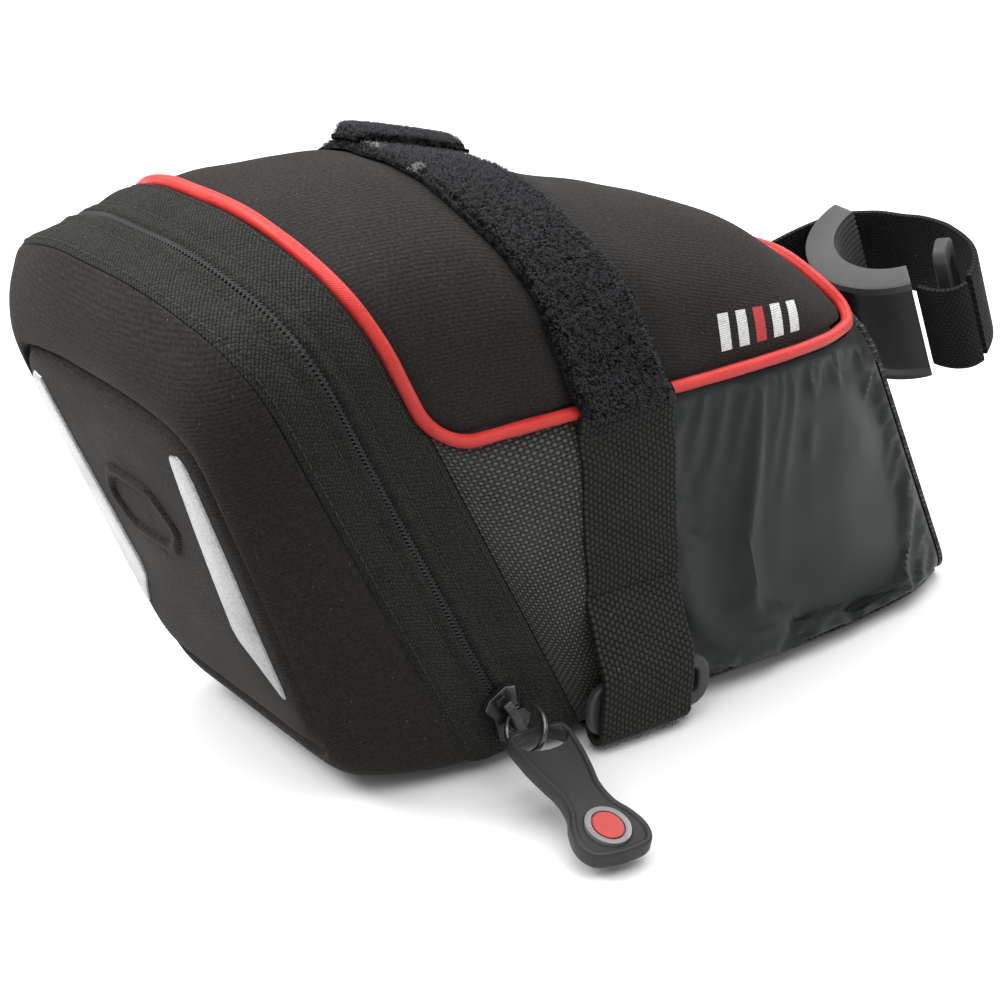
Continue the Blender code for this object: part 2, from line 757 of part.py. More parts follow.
def strap_patch(name, ways, low, high, look):
    """Part of the rail strap that follows the body, from one height over it to another."""
    outer, inner = [], []
    for across in spread(-STRAP_HALF, STRAP_HALF, 3):
        outer.append([inside(strap_station(w) + across, w, -high(w)) for w in ways])
        inner.append([inside(strap_station(w) + across, w, -low(w)) for w in ways])
    return shell_between(name, outer, inner, look)


def add_rail_strap():
    by_piping = [0.8, 0.86, 0.92, 0.96, 1.0, 1.04, 1.09, 1.15]

    def pile_top(way):
        return over_piping(way) + PILE_THICK

    def webbing_top(way):
        return over_piping(way) + WEBBING_THICK

    def flap_low(way):
        return over_piping(way) + PILE_THICK + GAP

    def flap_top(way):
        return flap_low(way) + PILE_THICK

    over = spread(FLAP_FOLD, 0.72, 19) + by_piping[:5]
    strap_patch("strap_pile_band", over, over_piping, pile_top, PILE)
    strap_patch("strap_flap", spread(FLAP_FOLD, FLAP_END, 6), flap_low, flap_top, PILE)
    left = [-way for way in spread(1.83, 1.2, 8) + by_piping[::-1]]
    left += spread(-0.76, FLAP_FOLD - 0.02, 7)
    strap_patch("strap_hook_band", left, over_piping, webbing_top, WEBBING)

    def under_low(way):
        """The webbing lies in the base's channel and climbs out of it at both ends."""
        beside = min(way - 2.0, 4.0 - way)
        return float(np.interp(beside, [-0.01, 0.11], [0.4, GAP - 0.02 - RECESS_DEPTH]))

    def under_top(way):
        return under_low(way) + BASE_WEBBING_THICK

    under = [1.9, 1.94, 1.97] + BASE_WAYS + [4.03, 4.06, 4.10, 4.14]
    strap_patch("strap_bottom_webbing", under, under_low, under_top, WEBBING)


def frame_solid(name, origin, across, up, out, outer_size, inner_size, thick, look, steps=4):
    """Rounded rectangular ring with a slot through it."""

    def loop(size, radius):
        points = []
        half_a, half_b = size[0] / 2 - radius, size[1] / 2 - radius
        for quarter, (sign_a, sign_b) in enumerate(((1, 1), (-1, 1), (-1, -1), (1, -1))):
            for k in range(steps + 1):
                angle = math.pi / 2 * (quarter + k / steps)
                a = sign_a * half_a + radius * math.cos(angle)
                b = sign_b * half_b + radius * math.sin(angle)
                points.append((a, b))
        return points

    outer_loop = loop(outer_size, min(outer_size) * 0.42)
    inner_loop = loop(inner_size, min(inner_size) * 0.3)
    count = len(outer_loop)
    vertices = []
    for depth in (-thick / 2, thick / 2):
        for ring in (outer_loop, inner_loop):
            vertices += [origin + a * across + b * up + depth * out for a, b in ring]
    faces = []
    for k in range(count):
        n = (k + 1) % count
        faces.append((k, n, count + n, count + k))
        faces.append((2 * count + k, 3 * count + k, 3 * count + n, 2 * count + n))
        faces.append((k, 2 * count + k, 2 * count + n, n))
        faces.append((count + k, count + n, 3 * count + n, 3 * count + k))
    return node(name, vertices, faces, look)


def add_rail_buckle():
    """Slide buckle at the right bottom edge, with the side webbing looped round its lower bar."""
    side = inside(strap_station(1.9), 1.9, 0.0)
    centre = np.array([side[0] + BUCKLE_OUT, side[1], BUCKLE_HEIGHT])
    across = np.array([0.0, 1.0, 0.0])
    up = np.array([0.0, 0.0, 1.0])
    out = np.array([1.0, 0.0, 0.0])
    size, slot = BUCKLE_SIZE, BUCKLE_SLOT
    frame_solid("strap_buckle", centre, across, up, out, size, slot, BUCKLE_THICK, PLASTIC)

    bar = BUCKLE_HEIGHT - (size[1] + slot[1]) / 4
    reach = WEBBING_THICK / 2 + 2 * GAP
    turn_x = BUCKLE_THICK / 2 + reach
    turn_z = (size[1] - slot[1]) / 4 + reach
    line = []
    for way in [1.006, 1.04, 1.08, 1.12, 1.16] + spread(1.22, 1.58, 5):
        middle = inside(strap_station(way), way, -over_piping(way) - WEBBING_THICK / 2)
        line.append((middle[0], middle[1], middle[2]))
    y = line[-1][1]
    line.append((centre[0] + turn_x, y, BUCKLE_HEIGHT + 8.0))
    for k in range(9):
        a = math.radians(-180 * k / 8)
        line.append((centre[0] + turn_x * math.cos(a), y, bar + turn_z * math.sin(a)))
    line.append((centre[0] - turn_x, y, BUCKLE_HEIGHT + 4.0))
    points = np.array(line)
    direction = np.gradient(points, axis=0)
    normal = np.cross(direction, across)
    normal /= np.linalg.norm(normal, axis=1)[:, None]
    outer, inner = [], []
    for shift in (-STRAP_HALF, 0.0, STRAP_HALF):
        outer.append([p + across * shift + n * WEBBING_THICK / 2 for p, n in zip(points, normal)])
        inner.append([p + across * shift - n * WEBBING_THICK / 2 for p, n in zip(points, normal)])
    shell_between("strap_side_webbing", outer, inner, WEBBING)


def turned(yaw, pitch, roll):
    cy, sy = math.cos(yaw), math.sin(yaw)
    cp, sp = math.cos(pitch), math.sin(pitch)
    cr, sr = math.cos(roll), math.sin(roll)
    about_z = np.array([[cy, -sy, 0], [sy, cy, 0], [0, 0, 1]])
    about_x = np.array([[1, 0, 0], [0, cp, -sp], [0, sp, cp]])
    about_y = np.array([[cr, 0, sr], [0, 1, 0], [-sr, 0, cr]])
    return about_x @ about_y @ about_z


PAD_TURN = turned(PAD_YAW, PAD_PITCH, PAD_ROLL)


def by_post(u, v, w):
    """Point given across, forwards and up in the seatpost pad's own frame."""
    return np.array(PAD_CENTRE) + PAD_TURN @ np.array([u, v, w], float)


def add_pad():
    """C-shaped rubber pad with a flange at its top and bottom."""
    angles = spread(-math.pi / 2 - PAD_HALF_ANGLE, -math.pi / 2 + PAD_HALF_ANGLE, 19)
    wall = POST_RADIUS + PAD_WALL
    flange = PAD_FLANGE_RADIUS
    lip = wall + PAD_LIP
    profile = [  # radius, height
        (POST_RADIUS, 0),
        (flange, 0),
        (flange, -2.6),
        (wall, -3.4),
        (wall, -PAD_HEIGHT + 2.6),
        (lip, -PAD_HEIGHT + 1.8),
        (lip, -PAD_HEIGHT),
        (POST_RADIUS, -PAD_HEIGHT),
    ]
    vertices, faces = [], []
    for a in angles:
        vertices += [by_post(r * math.cos(a), r * math.sin(a), w) for r, w in profile]
    count = len(profile)
    for i in range(len(angles) - 1):
        for k in range(count):
            n = (k + 1) % count
            faces.append((i * count + k, i * count + n, (i + 1) * count + n, (i + 1) * count + k))
    faces.append(tuple(reversed(range(count))))
    faces.append(tuple((len(angles) - 1) * count + k for k in range(count)))
    node("seatpost_pad", vertices, faces, RUBBER)


def smooth_line(points, count):
    """Even points along a smooth curve through the given ones."""
    points = [np.array(p, float) for p in points]
    fine = []
    for i in range(len(points) - 1):
        before = points[max(i - 1, 0)]
        a, b = points[i], points[i + 1]
        after = points[min(i + 2, len(points) - 1)]
        for k in range(12):
            t = k / 12
            bend = 2 * before - 5 * a + 4 * b - after
            twist = 3 * a - before - 3 * b + after
            fine.append(a + 0.5 * ((b - before) * t + bend * t**2 + twist * t**3))
    fine.append(points[-1])
    fine = np.array(fine)
    length = np.concatenate([[0], np.cumsum(np.linalg.norm(np.diff(fine, axis=0), axis=1))])
    want = np.linspace(0, length[-1], count)
    return np.stack([np.interp(want, length, fine[:, k]) for k in range(fine.shape[1])], axis=1)


def ribbon(name, line, low, high, thick, look):
    """Upright strap along a plan line in the pad's frame, between two heights."""
    tangent = np.gradient(line, axis=0)
    tangent /= np.linalg.norm(tangent, axis=1)[:, None]
    normal = np.stack([-tangent[:, 1], tangent[:, 0]], axis=1)
    outer, inner = [], []
    for w in spread(low, high, 3):
        outer.append([by_post(*(p + n * thick / 2), w) for p, n in zip(line, normal)])
        inner.append([by_post(*(p - n * thick / 2), w) for p, n in zip(line, normal)])
    return shell_between(name, outer, inner, look)


def add_seatpost_loop():
    """Strap from the front panel round the left of the post to the buckle, and back."""
    low, high = -LOOP_DROP - LOOP_WIDTH, -LOOP_DROP
    far, near = smooth_line(LOOP_FAR, 34), smooth_line(LOOP_NEAR, 14)
    ribbon("seatpost_strap_left", far, low, high, LOOP_THICK, WEBBING)
    ribbon("seatpost_strap_right", near, low, high, LOOP_THICK, WEBBING)
    behind = POST_RADIUS + PAD_WALL + GAP + 0.1 + LOOP_THICK / 2
    arc = [math.radians(a) for a in spread(-148, -74, 9)]
    back = np.array([(behind * math.cos(a), behind * math.sin(a)) for a in arc])
    ribbon("seatpost_strap_back", back, low, high, LOOP_THICK, WEBBING)
    origin = by_post(*LOOP_BUCKLE)
    across = PAD_TURN @ np.array([0.80, -0.60, 0.0])
    up = PAD_TURN @ np.array([0.0, 0.0, 1.0])
    out = PAD_TURN @ np.array([0.60, 0.80, 0.0])
    size, slot = LOOP_BUCKLE_SIZE, LOOP_BUCKLE_SLOT
    frame_solid("seatpost_buckle", origin, across, up, out, size, slot, LOOP_BUCKLE_THICK, PLASTIC)


def add_front_anchor():
    """Patch sewn to the front panel that carries the loop."""

    def place(x, z, depth):
        return np.array([x, FRONT + 3.6 + depth - LEAN * z, z])

    outline = [(-24, 42), (24, 42), (25, 46), (22, 76), (19, 79), (-19, 79), (-22, 76), (-25, 46)]
    slab("front_anchor_patch", outline, place, 1.6, WEBBING)


def add_slider():
    """Slider body with its bridge, riding on the closed coil."""
    low, high = skin(ZIP, 1.94), skin(ZIP, 1.55)
    along_leg = (high - low) / np.linalg.norm(high - low)
    share = (SLIDER_HEIGHT - low[2]) / (high[2] - low[2])
    base = low + (high - low) * share
    out = np.array([1.0, 0.0, 0.0])
    out = out - along_leg * np.dot(out, along_leg)
    out /= np.linalg.norm(out)
    across = np.cross(out, along_leg)

    def place(u, v, depth):
        return base + u * across + v * along_leg + (SLIDER_LIFT + depth) * out

    half, length = SLIDER_WIDTH / 2, SLIDER_LENGTH / 2
    right = [
        (half - 1.5, -length),
        (half, -length + 2.0),
        (half * 0.72, 1.0),
        (half * 0.95, length - 1.5),
        (half * 0.55, length),
    ]
    outline = right + [(-u, v) for u, v in reversed(right)]
    made = slab("zip_slider", outline, place, SLIDER_THICK, BLACK_METAL)
    foot = SLIDER_LIFT + SLIDER_THICK / 2
    arch = [
        (-BRIDGE_HALF, foot),
        (-BRIDGE_HALF, BRIDGE_TOP - 1.1),
        (-BRIDGE_HALF + 1.0, BRIDGE_TOP),
        (BRIDGE_HALF - 1.0, BRIDGE_TOP),
        (BRIDGE_HALF, BRIDGE_TOP - 1.1),
        (BRIDGE_HALF, foot),
        (BRIDGE_HALF - 1.6, foot),
        (BRIDGE_HALF - 1.6, BRIDGE_TOP - 1.7),
        (BRIDGE_HALF - 2.0, BRIDGE_TOP - 1.3),
        (-BRIDGE_HALF + 2.0, BRIDGE_TOP - 1.3),
        (-BRIDGE_HALF + 1.6, BRIDGE_TOP - 1.7),
        (-BRIDGE_HALF + 1.6, foot),
    ]

    def bridge_place(u, v, depth):
        return base + u * along_leg + v * out + (depth - BRIDGE_WIDTH / 2) * across

    bridge = slab("slider_bridge", arch, bridge_place, BRIDGE_WIDTH, BLACK_METAL)
    combine(made, bridge, "UNION")
    return base, along_leg, out


def add_pull(base, along_leg, out):
    """Wire ring through the bridge and the rubber tab that hangs from it."""
    reach = np.array([0.985, 0.0, -0.23])
    reach -= along_leg * np.dot(reach, along_leg)
    reach /= np.linalg.norm(reach)
    start = base + out * RING_LIFT
    lift = np.array([0.0, 0.48, 0.88])
    lift -= reach * np.dot(reach, lift)
    lift /= np.linalg.norm(lift)
    ring = []
    middle = start + reach * (RING_HALF_LONG - 0.2)
    for k in range(24):
        a = 2 * math.pi * k / 24
        along, beside = RING_HALF_LONG * math.cos(a), RING_HALF_WIDE * math.sin(a)
        ring.append(middle - reach * along + lift * beside)
    tube("pull_ring", ring, PULL_WIRE, BLACK_METAL, sides=8)
    return middle + reach * RING_HALF_LONG


def ellipse(middle, size, count):
    angles = [2 * math.pi * k / count for k in range(count)]
    return [(middle + size[0] * math.cos(a), size[1] * math.sin(a)) for a in angles]


def add_tab(eye):
    """Dog-bone rubber tab hung on the ring by its eye, and its badge."""
    length = np.array([0.955, -0.120, -0.270])
    length /= np.linalg.norm(length)
    wide = np.cross(np.array([0, 0, 1.0]), length)
    wide /= np.linalg.norm(wide)
    face = np.cross(length, wide)
    start = eye - length * TAB_HANG

    def at_height(low):
        """Places a prism whose lower side lies this high over the tab's middle."""

        def place(u, v, depth):
            return start + u * length + v * wide + (low + depth) * face

        return place

    top = TAB_THICK / 2
    outline = [(u, -half) for u, half in TAB_HALF] + [(u, half) for u, half in reversed(TAB_HALF)]
    tab = slab("pull_tab", outline, at_height(-top), TAB_THICK, RUBBER)
    hole = slab("tab_eye", ellipse(TAB_EYE, EYE_SIZE, 12), at_height(-2 * top), 4 * top, RUBBER)
    seat_size = [half + 0.4 for half in BADGE_SIZE]
    seat = slab("badge_seat", ellipse(BADGE, seat_size, 24), at_height(top - 0.9), 2.0, RUBBER)
    combine(tab, hole, "DIFFERENCE")
    combine(tab, seat, "DIFFERENCE")

    ring = slab("pull_badge_frame", ellipse(BADGE, BADGE_SIZE, 24), at_height(top - 0.8), 1.0, GREY)
    socket_size = [half * 1.09 for half in INSERT_SIZE]
    socket = slab("insert_socket", ellipse(BADGE, socket_size, 24), at_height(top - 0.5), 2.0, GREY)
    combine(ring, socket, "DIFFERENCE")
    slab("pull_badge_insert", ellipse(BADGE, INSERT_SIZE, 24), at_height(top - 0.2), 0.5, CORAL)


def add_insides():
    """Stiff base board, body lining and the mesh pocket in the lid."""
    board = list(BOARD_OUTLINE) + [(-x, y) for x, y in reversed(BOARD_OUTLINE)]

    def board_place(x, y, depth):
        return np.array([x, y, BOTTOM_THICK + 0.4 + depth])

    slab("base_board", board, board_place, 2.0, RUBBER)
    ways = spread(-1.90, 1.90, 41)
    rows = spread(TAPE - 2.0, FRONT - 6.0, 11)
    depths = (LINING_DEPTH, LINING_DEPTH + LINING_THICK)
    panel("body_lining", rows, ways, depths, SLATE)
    low, high = POCKET_BOTTOM, POCKET_TOP
    columns = spread(-1, 1, 9)

    def pocket_point(x, z, depth):
        half = POCKET_HALF + 2.5 * (z - low) / (high - low)
        sag = 5.0 * (1 - x * x)
        return np.array([x * half, SEAM - 14.0 + sag - depth - POCKET_LEAN * z, z])

    outer = [[pocket_point(x, z, 0.0) for x in columns] for z in spread(low, high, 6)]
    inner = [[pocket_point(x, z, 0.5) for x in columns] for z in spread(low, high, 6)]
    shell_between("mesh_pocket", outer, inner, BLACK_WEAVE)
    hem = [pocket_point(x, high + 2.6, 0.2) for x in spread(-1, 1, 13)]
    tube("mesh_pocket_elastic", hem, 2.0, BLACK_TWILL, closed=False, sides=8)


clear_scene()
add_body()
add_bottom()
add_front()
add_piping()
add_zip()
add_hinge()
add_shell()
add_reflectors()
add_rail_strap()
add_rail_buckle()
add_pad()
add_seatpost_loop()
add_front_anchor()
add_tab(add_pull(*add_slider()))
add_insides()
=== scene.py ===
"""Looks of the saddle bag: detailed pieces, materials, floor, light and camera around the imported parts."""

import math

import bmesh
import bpy
import numpy as np
from mathutils import Matrix, Vector
from mathutils.bvhtree import BVHTree


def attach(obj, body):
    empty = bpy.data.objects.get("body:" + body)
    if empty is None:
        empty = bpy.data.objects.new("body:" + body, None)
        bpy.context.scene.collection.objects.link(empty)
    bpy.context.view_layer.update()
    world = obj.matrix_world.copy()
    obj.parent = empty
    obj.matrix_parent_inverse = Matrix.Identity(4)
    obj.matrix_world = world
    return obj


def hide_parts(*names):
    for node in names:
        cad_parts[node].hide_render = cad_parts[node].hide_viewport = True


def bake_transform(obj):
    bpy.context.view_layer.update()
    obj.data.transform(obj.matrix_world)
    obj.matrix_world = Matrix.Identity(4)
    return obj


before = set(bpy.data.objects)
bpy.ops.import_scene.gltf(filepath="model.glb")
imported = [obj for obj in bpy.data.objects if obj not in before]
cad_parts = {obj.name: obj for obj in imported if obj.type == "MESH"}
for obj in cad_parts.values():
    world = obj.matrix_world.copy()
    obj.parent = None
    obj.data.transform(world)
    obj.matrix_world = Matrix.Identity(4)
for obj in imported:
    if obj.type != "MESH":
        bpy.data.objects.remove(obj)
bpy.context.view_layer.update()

MM = 0.001

# ---------------------------------------------------------------- the bag's form, in millimetres

LEAN = 0.54
SEAM, ZIP, TAPE, FRONT = -65.4, -51.7, -35.6, 94.0
SECTION_STATIONS = (-65.4, -50.0, -36.0, 0.0, 40.0, 75.0, 94.0)
HALF_BOTTOM = (40.0, 40.5, 40.5, 40.0, 39.0, 34.0, 26.0)
HALF_SIDE = (47.5, 46.0, 44.5, 43.0, 43.0, 39.0, 31.0)
HALF_SHOULDER = (52.5, 50.5, 47.5, 43.0, 37.0, 31.0, 24.5)
SHOULDER_HEIGHT = (104.0, 108.0, 110.5, 108.5, 99.0, 92.0, 82.0)
CREST_HEIGHT = (113.0, 118.5, 123.0, 125.5, 115.5, 104.5, 90.5)
SIDE_HEIGHT, BOTTOM_RADIUS, SIDE_RADIUS, SHOULDER_RADIUS = 72.0, 9.0, 16.0, 15.0
PIPING_HEIGHT, CORNER_HEIGHT = 77.5, 2.6
PIPING_DEPTH, PIPING_CORNER, FRONT_CORNER = 0.1, 10.0, 6.0
PIPING_FRONT = FRONT - 0.6
CORD_RADIUS = 1.42
PIPING_CLEAR = CORD_RADIUS + 0.45
COIL_HALF = 1.5
SIDE_END, SIDE_ARC = 1.997, 76.0
PLATE_HALF_BOTTOM, PLATE_HALF_SIDE, PLATE_HALF_TOP = 33.0, 36.5, 37.5
PLATE_BOTTOM, PLATE_TOP, PLATE_BACK, PLATE_LEAN, PLATE_STEP = 14.0, 89.5, -95.0, 0.38, 3.2
SHELL_THICK = 3.0
STRAP_HALF, STRAP_TOP, STRAP_SIDE, STRAP_BOTTOM = 12.5, 16.0, 12.0, -21.5
TAB_LENGTH, TAB_THICK, TAB_HANG, TAB_EYE, BADGE = 38.0, 3.8, 3.5, 3.7, 30.5
TAB_LENGTHWISE = (0.955, -0.120, -0.270)
TAB_EYE_POINT = (56.0517, -60.1151, 12.9247)
RING_NEAR_POINT, RING_UP, RING_HALF_WIDE = (44.3556, -59.4064, 14.3170), (0.132343, 0.475083, 0.869932), 5.1
EYE_SIZE, BADGE_SIZE = (2.9, 5.8), (5.2, 4.6)
# Half width of the rubber tab along it, from its eye end.
TAB_HALF = (
    (1.2, 6.9), (8.0, 6.9), (14.0, 6.0), (19.0, 5.0), (24.0, 5.4), (28.0, 7.2),
    (32.0, 8.1), (35.5, 7.4), (37.4, 5.2),
)  # fmt: skip
WEBBING_THICK, PILE_THICK, SELVEDGE = 1.4, 1.9, 0.8
RECESS_DEPTH, RECESS_HALF = 1.9, 13.4
# The cloth trial of the slate panels: how many frames it runs, and the furthest that it may move a point.
DRAPE_FRAMES, DRAPE_MOST = 26, 2.4
FLAP_FOLD, FLAP_END, PUFF_START = -0.32, -0.06, -0.285
BUCKLE_OUT, BUCKLE_HEIGHT, BUCKLE_THICK = 5.4, 9.3, 2.4
POST_RADIUS, PAD_FLANGE_RADIUS, PAD_WALL, PAD_HEIGHT = 15.4, 23.3, 3.6, 32.0
PAD_HALF_ANGLE = math.radians(72.0)
PAD_CENTRE = np.array([0.0, 93.3, 86.5])
PAD_YAW, PAD_PITCH, PAD_ROLL = math.radians(-21.3), math.radians(25.8), math.radians(4.2)
LOOP_THICK = 1.6


def spread(start, end, count):
    return np.linspace(start, end, count)


def eased(values, station):
    """Smooth value between the loft's stations."""
    x = SECTION_STATIONS
    station = min(max(station, x[0]), x[-1])
    i = min(max(k for k in range(len(x)) if x[k] <= station), len(x) - 2)
    step = x[i + 1] - x[i]
    u = (station - x[i]) / step

    def slope(k):
        low, high = max(k - 1, 0), min(k + 1, len(x) - 1)
        return (values[high] - values[low]) / (x[high] - x[low]) * step

    return (
        (2 * u**3 - 3 * u**2 + 1) * values[i]
        + (u**3 - 2 * u**2 + u) * slope(i)
        + (3 * u**2 - 2 * u**3) * values[i + 1]
        + (u**3 - u**2) * slope(i + 1)
    )


def rounded(corners, steps=16):
    """Polyline through (x, z, radius) corners, each rounded by a parabola."""
    line = [np.array(corners[0][:2], float)]
    for before, here, after in zip(corners, corners[1:], corners[2:]):
        p = np.array(here[:2], float)
        back = np.array(before[:2], float) - p
        on = np.array(after[:2], float) - p
        start = p + back / np.linalg.norm(back) * here[2]
        end = p + on / np.linalg.norm(on) * here[2]
        for t in spread(0, 1, steps + 1):
            line.append((1 - t) ** 2 * start + 2 * t * (1 - t) * p + t * t * end)
    line.append(np.array(corners[-1][:2], float))
    return np.array(line)


def body_outline(station):
    """Right half of a cross-section as (x, z), from bottom centre to crest."""
    bottom, side = eased(HALF_BOTTOM, station), eased(HALF_SIDE, station)
    shoulder, height = eased(HALF_SHOULDER, station), eased(SHOULDER_HEIGHT, station)
    crest = eased(CREST_HEIGHT, station)
    slope = math.hypot(0.55 * shoulder, crest - height)
    upright = math.hypot(side - shoulder, height - SIDE_HEIGHT)
    return rounded(
        [
            (0, 0, 0),
            (bottom, 0, BOTTOM_RADIUS),
            (side, SIDE_HEIGHT, min(SIDE_RADIUS, 0.5 * upright)),
            (shoulder, height, min(SHOULDER_RADIUS, 0.48 * slope, 0.48 * upright)),
            (0.45 * shoulder, crest, min(0.48 * slope, 0.4 * shoulder)),
            (0, crest, 0),
        ]
    )


def plate_outline(inset):
    """Right half of the raised rear panel's outline."""
    return rounded(
        [
            (0, PLATE_BOTTOM + inset, 0),
            (PLATE_HALF_BOTTOM - inset, PLATE_BOTTOM + inset, 8),
            (PLATE_HALF_SIDE - inset, 0.5 * (PLATE_BOTTOM + PLATE_TOP), 20),
            (PLATE_HALF_TOP - inset, PLATE_TOP - 3 - inset, 9),
            (0.45 * PLATE_HALF_TOP, PLATE_TOP - inset, 0.27 * PLATE_HALF_TOP),
            (0, PLATE_TOP - inset, 0),
        ]
    )


def lengths_of(line):
    steps = np.linalg.norm(np.diff(line, axis=0), axis=1)
    return np.concatenate([[0], np.cumsum(steps)])


def landmark(line, height):
    """Share of the arc length at which the side of the outline reaches a height."""
    length = lengths_of(line)
    k = int(np.argmax(line[:, 1] > height))
    part = (height - line[k - 1, 1]) / (line[k, 1] - line[k - 1, 1])
    return (length[k - 1] + part * (length[k] - length[k - 1])) / length[-1]


# The outer surface as a table: rows are stations, columns go round from the crest (0) by the piping (1)
# and the bottom edge (2) to the middle of the bottom (3). The left side mirrors it.
STATION_STEP, WAY_STEP = 0.5, 0.01
STATIONS = np.arange(SEAM - 1.0, FRONT + 0.75, STATION_STEP)
WAYS = np.arange(0.0, 3.0 + WAY_STEP / 2, WAY_STEP)


def half_section(station):
    line = body_outline(station)
    piping, corner = landmark(line, PIPING_HEIGHT), landmark(line, CORNER_HEIGHT)
    share = np.interp(WAYS, [0, 1, 2, 3], [1.0, piping, corner, 0.0])
    length = lengths_of(line)
    x = np.interp(share * length[-1], length, line[:, 0])
    z = np.interp(share * length[-1], length, line[:, 1])
    return np.stack([x, station - LEAN * z, z], axis=1), length[-1] * (1.0 - piping)


SECTIONS = [half_section(s) for s in STATIONS]
SKIN = np.array([section for section, _ in SECTIONS])
HALF_ARCS = np.array([arc for _, arc in SECTIONS])


def skin_normals():
    d_station, d_way = np.gradient(SKIN, axis=0), np.gradient(SKIN, axis=1)
    d_way[:, 0, 1:] = 0.0
    d_way[:, 0, 0] = 1.0
    normals = np.cross(d_way, d_station)
    middle = SKIN * [0, 1, 0] + [0, 0, 50.0]
    normals *= np.sign((normals * (SKIN - middle)).sum(axis=2))[..., None]
    normals[:, 0, 0] = 0.0
    normals[:, -1] = [0, 0, -1]
    return normals / np.linalg.norm(normals, axis=2)[..., None]


NORMALS = skin_normals()


def at(station, way, lift=0.0):
    """Points this far above the bag's outer surface, for arrays of stations and ways."""
    station, way, lift = np.broadcast_arrays(*(np.asarray(v, float) for v in (station, way, lift)))
    turned = (way + 3.0) % 6.0 - 3.0
    i = np.clip((station - STATIONS[0]) / STATION_STEP, 0, len(STATIONS) - 1.001)
    j = np.clip(abs(turned) / WAY_STEP, 0, len(WAYS) - 1.001)
    i0, j0 = i.astype(int), j.astype(int)
    a, b = (i - i0)[..., None], (j - j0)[..., None]

    def blend_of(table):
        low = table[i0, j0] * (1 - b) + table[i0, j0 + 1] * b
        high = table[i0 + 1, j0] * (1 - b) + table[i0 + 1, j0 + 1] * b
        return low * (1 - a) + high * a

    normal = blend_of(NORMALS)
    normal /= np.linalg.norm(normal, axis=-1)[..., None]
    point = blend_of(SKIN) + normal * lift[..., None]
    point[..., 0] *= np.where(turned < 0, -1.0, 1.0)
    return point


def half_arc(station):
    return np.interp(station, STATIONS, HALF_ARCS)


def drawn_in(station, side):
    """How far a panel's edge lies from the piping's level near a rounded corner."""
    at_rear = station - TAPE < FRONT - station
    corner = np.where(at_rear, PIPING_CORNER, FRONT_CORNER)
    from_end = np.where(at_rear, station - TAPE, PIPING_FRONT - station)
    radius = corner - side * PIPING_CLEAR
    bend = radius**2 - (corner - np.maximum(from_end, 0.0)) ** 2
    return np.where(from_end >= corner, side * PIPING_CLEAR, corner - np.sqrt(np.maximum(bend, 0.0)))


def strap_station(way):
    """Station of the rail strap's middle line at a place round the section."""
    return np.interp(np.abs(way), [0, 0.6, 1.0, 2.0], [STRAP_TOP, STRAP_TOP, STRAP_SIDE, STRAP_BOTTOM])


def clear_of_piping(way):
    """Extra height with which the strap rides over the piping."""
    return 1.35 * np.exp(-(((np.abs(way) - 1.0) / 0.07) ** 2))


def waves(x, y, count, low, high, seed):
    """Soft uneven surface: a sum of sines with wavelengths between two limits, about -1 to 1."""
    rng = np.random.default_rng(seed)
    total = np.zeros(np.broadcast(x, y).shape)
    for _ in range(count):
        turn, phase = rng.uniform(0, 2 * math.pi, 2)
        length = rng.uniform(low, high)
        total = total + np.sin((x * math.cos(turn) + y * math.sin(turn)) * 2 * math.pi / length + phase)
    return total / math.sqrt(count)


# ---------------------------------------------------------------- meshes


def linked(name, vertices, faces, uvs=None):
    """Mesh object from points in millimetres; uvs are per vertex, in metres."""
    mesh = bpy.data.meshes.new(name)
    mesh.from_pydata((np.asarray(vertices) * MM).tolist(), [], [list(map(int, f)) for f in faces])
    if uvs is not None:
        layer = mesh.uv_layers.new(name="UVMap")
        corner = np.empty(len(mesh.loops), np.int32)
        mesh.loops.foreach_get("vertex_index", corner)
        layer.data.foreach_set("uv", np.asarray(uvs, np.float32)[corner].ravel())
    mesh.update()
    mesh.shade_smooth()
    mesh.set_sharp_from_angle(angle=math.radians(42))
    obj = bpy.data.objects.new(name, mesh)
    bpy.context.scene.collection.objects.link(obj)
    return obj


def grid_faces(rows, columns, closed=False):
    i, j = np.meshgrid(np.arange(rows - 1), np.arange(columns if closed else columns - 1), indexing="ij")
    k = (j + 1) % columns
    here, above = i * columns, (i + 1) * columns
    quads = np.stack([here + j, here + k, above + k, above + j], axis=-1)
    return quads.reshape(-1, 4)


def surface_uv(grid):
    """Distances along a grid's columns and rows, in metres."""
    across = np.linalg.norm(np.diff(grid, axis=1), axis=2)
    down = np.linalg.norm(np.diff(grid, axis=0), axis=2)
    u = np.concatenate([np.zeros((grid.shape[0], 1)), np.cumsum(across, axis=1)], axis=1)
    u = u - u[:, [grid.shape[1] // 2]]
    v = np.concatenate([np.zeros((1, grid.shape[1])), np.cumsum(down, axis=0)], axis=0)
    v = np.broadcast_to(v.mean(axis=1)[:, None], u.shape)
    return np.stack([u, v], axis=-1) * MM


def facing_out(obj):
    made = bmesh.new()
    made.from_mesh(obj.data)
    bmesh.ops.recalc_face_normals(made, faces=made.faces)
    if made.calc_volume(signed=True) < 0:
        bmesh.ops.reverse_faces(made, faces=made.faces)
    made.to_mesh(obj.data)
    made.free()
    return obj


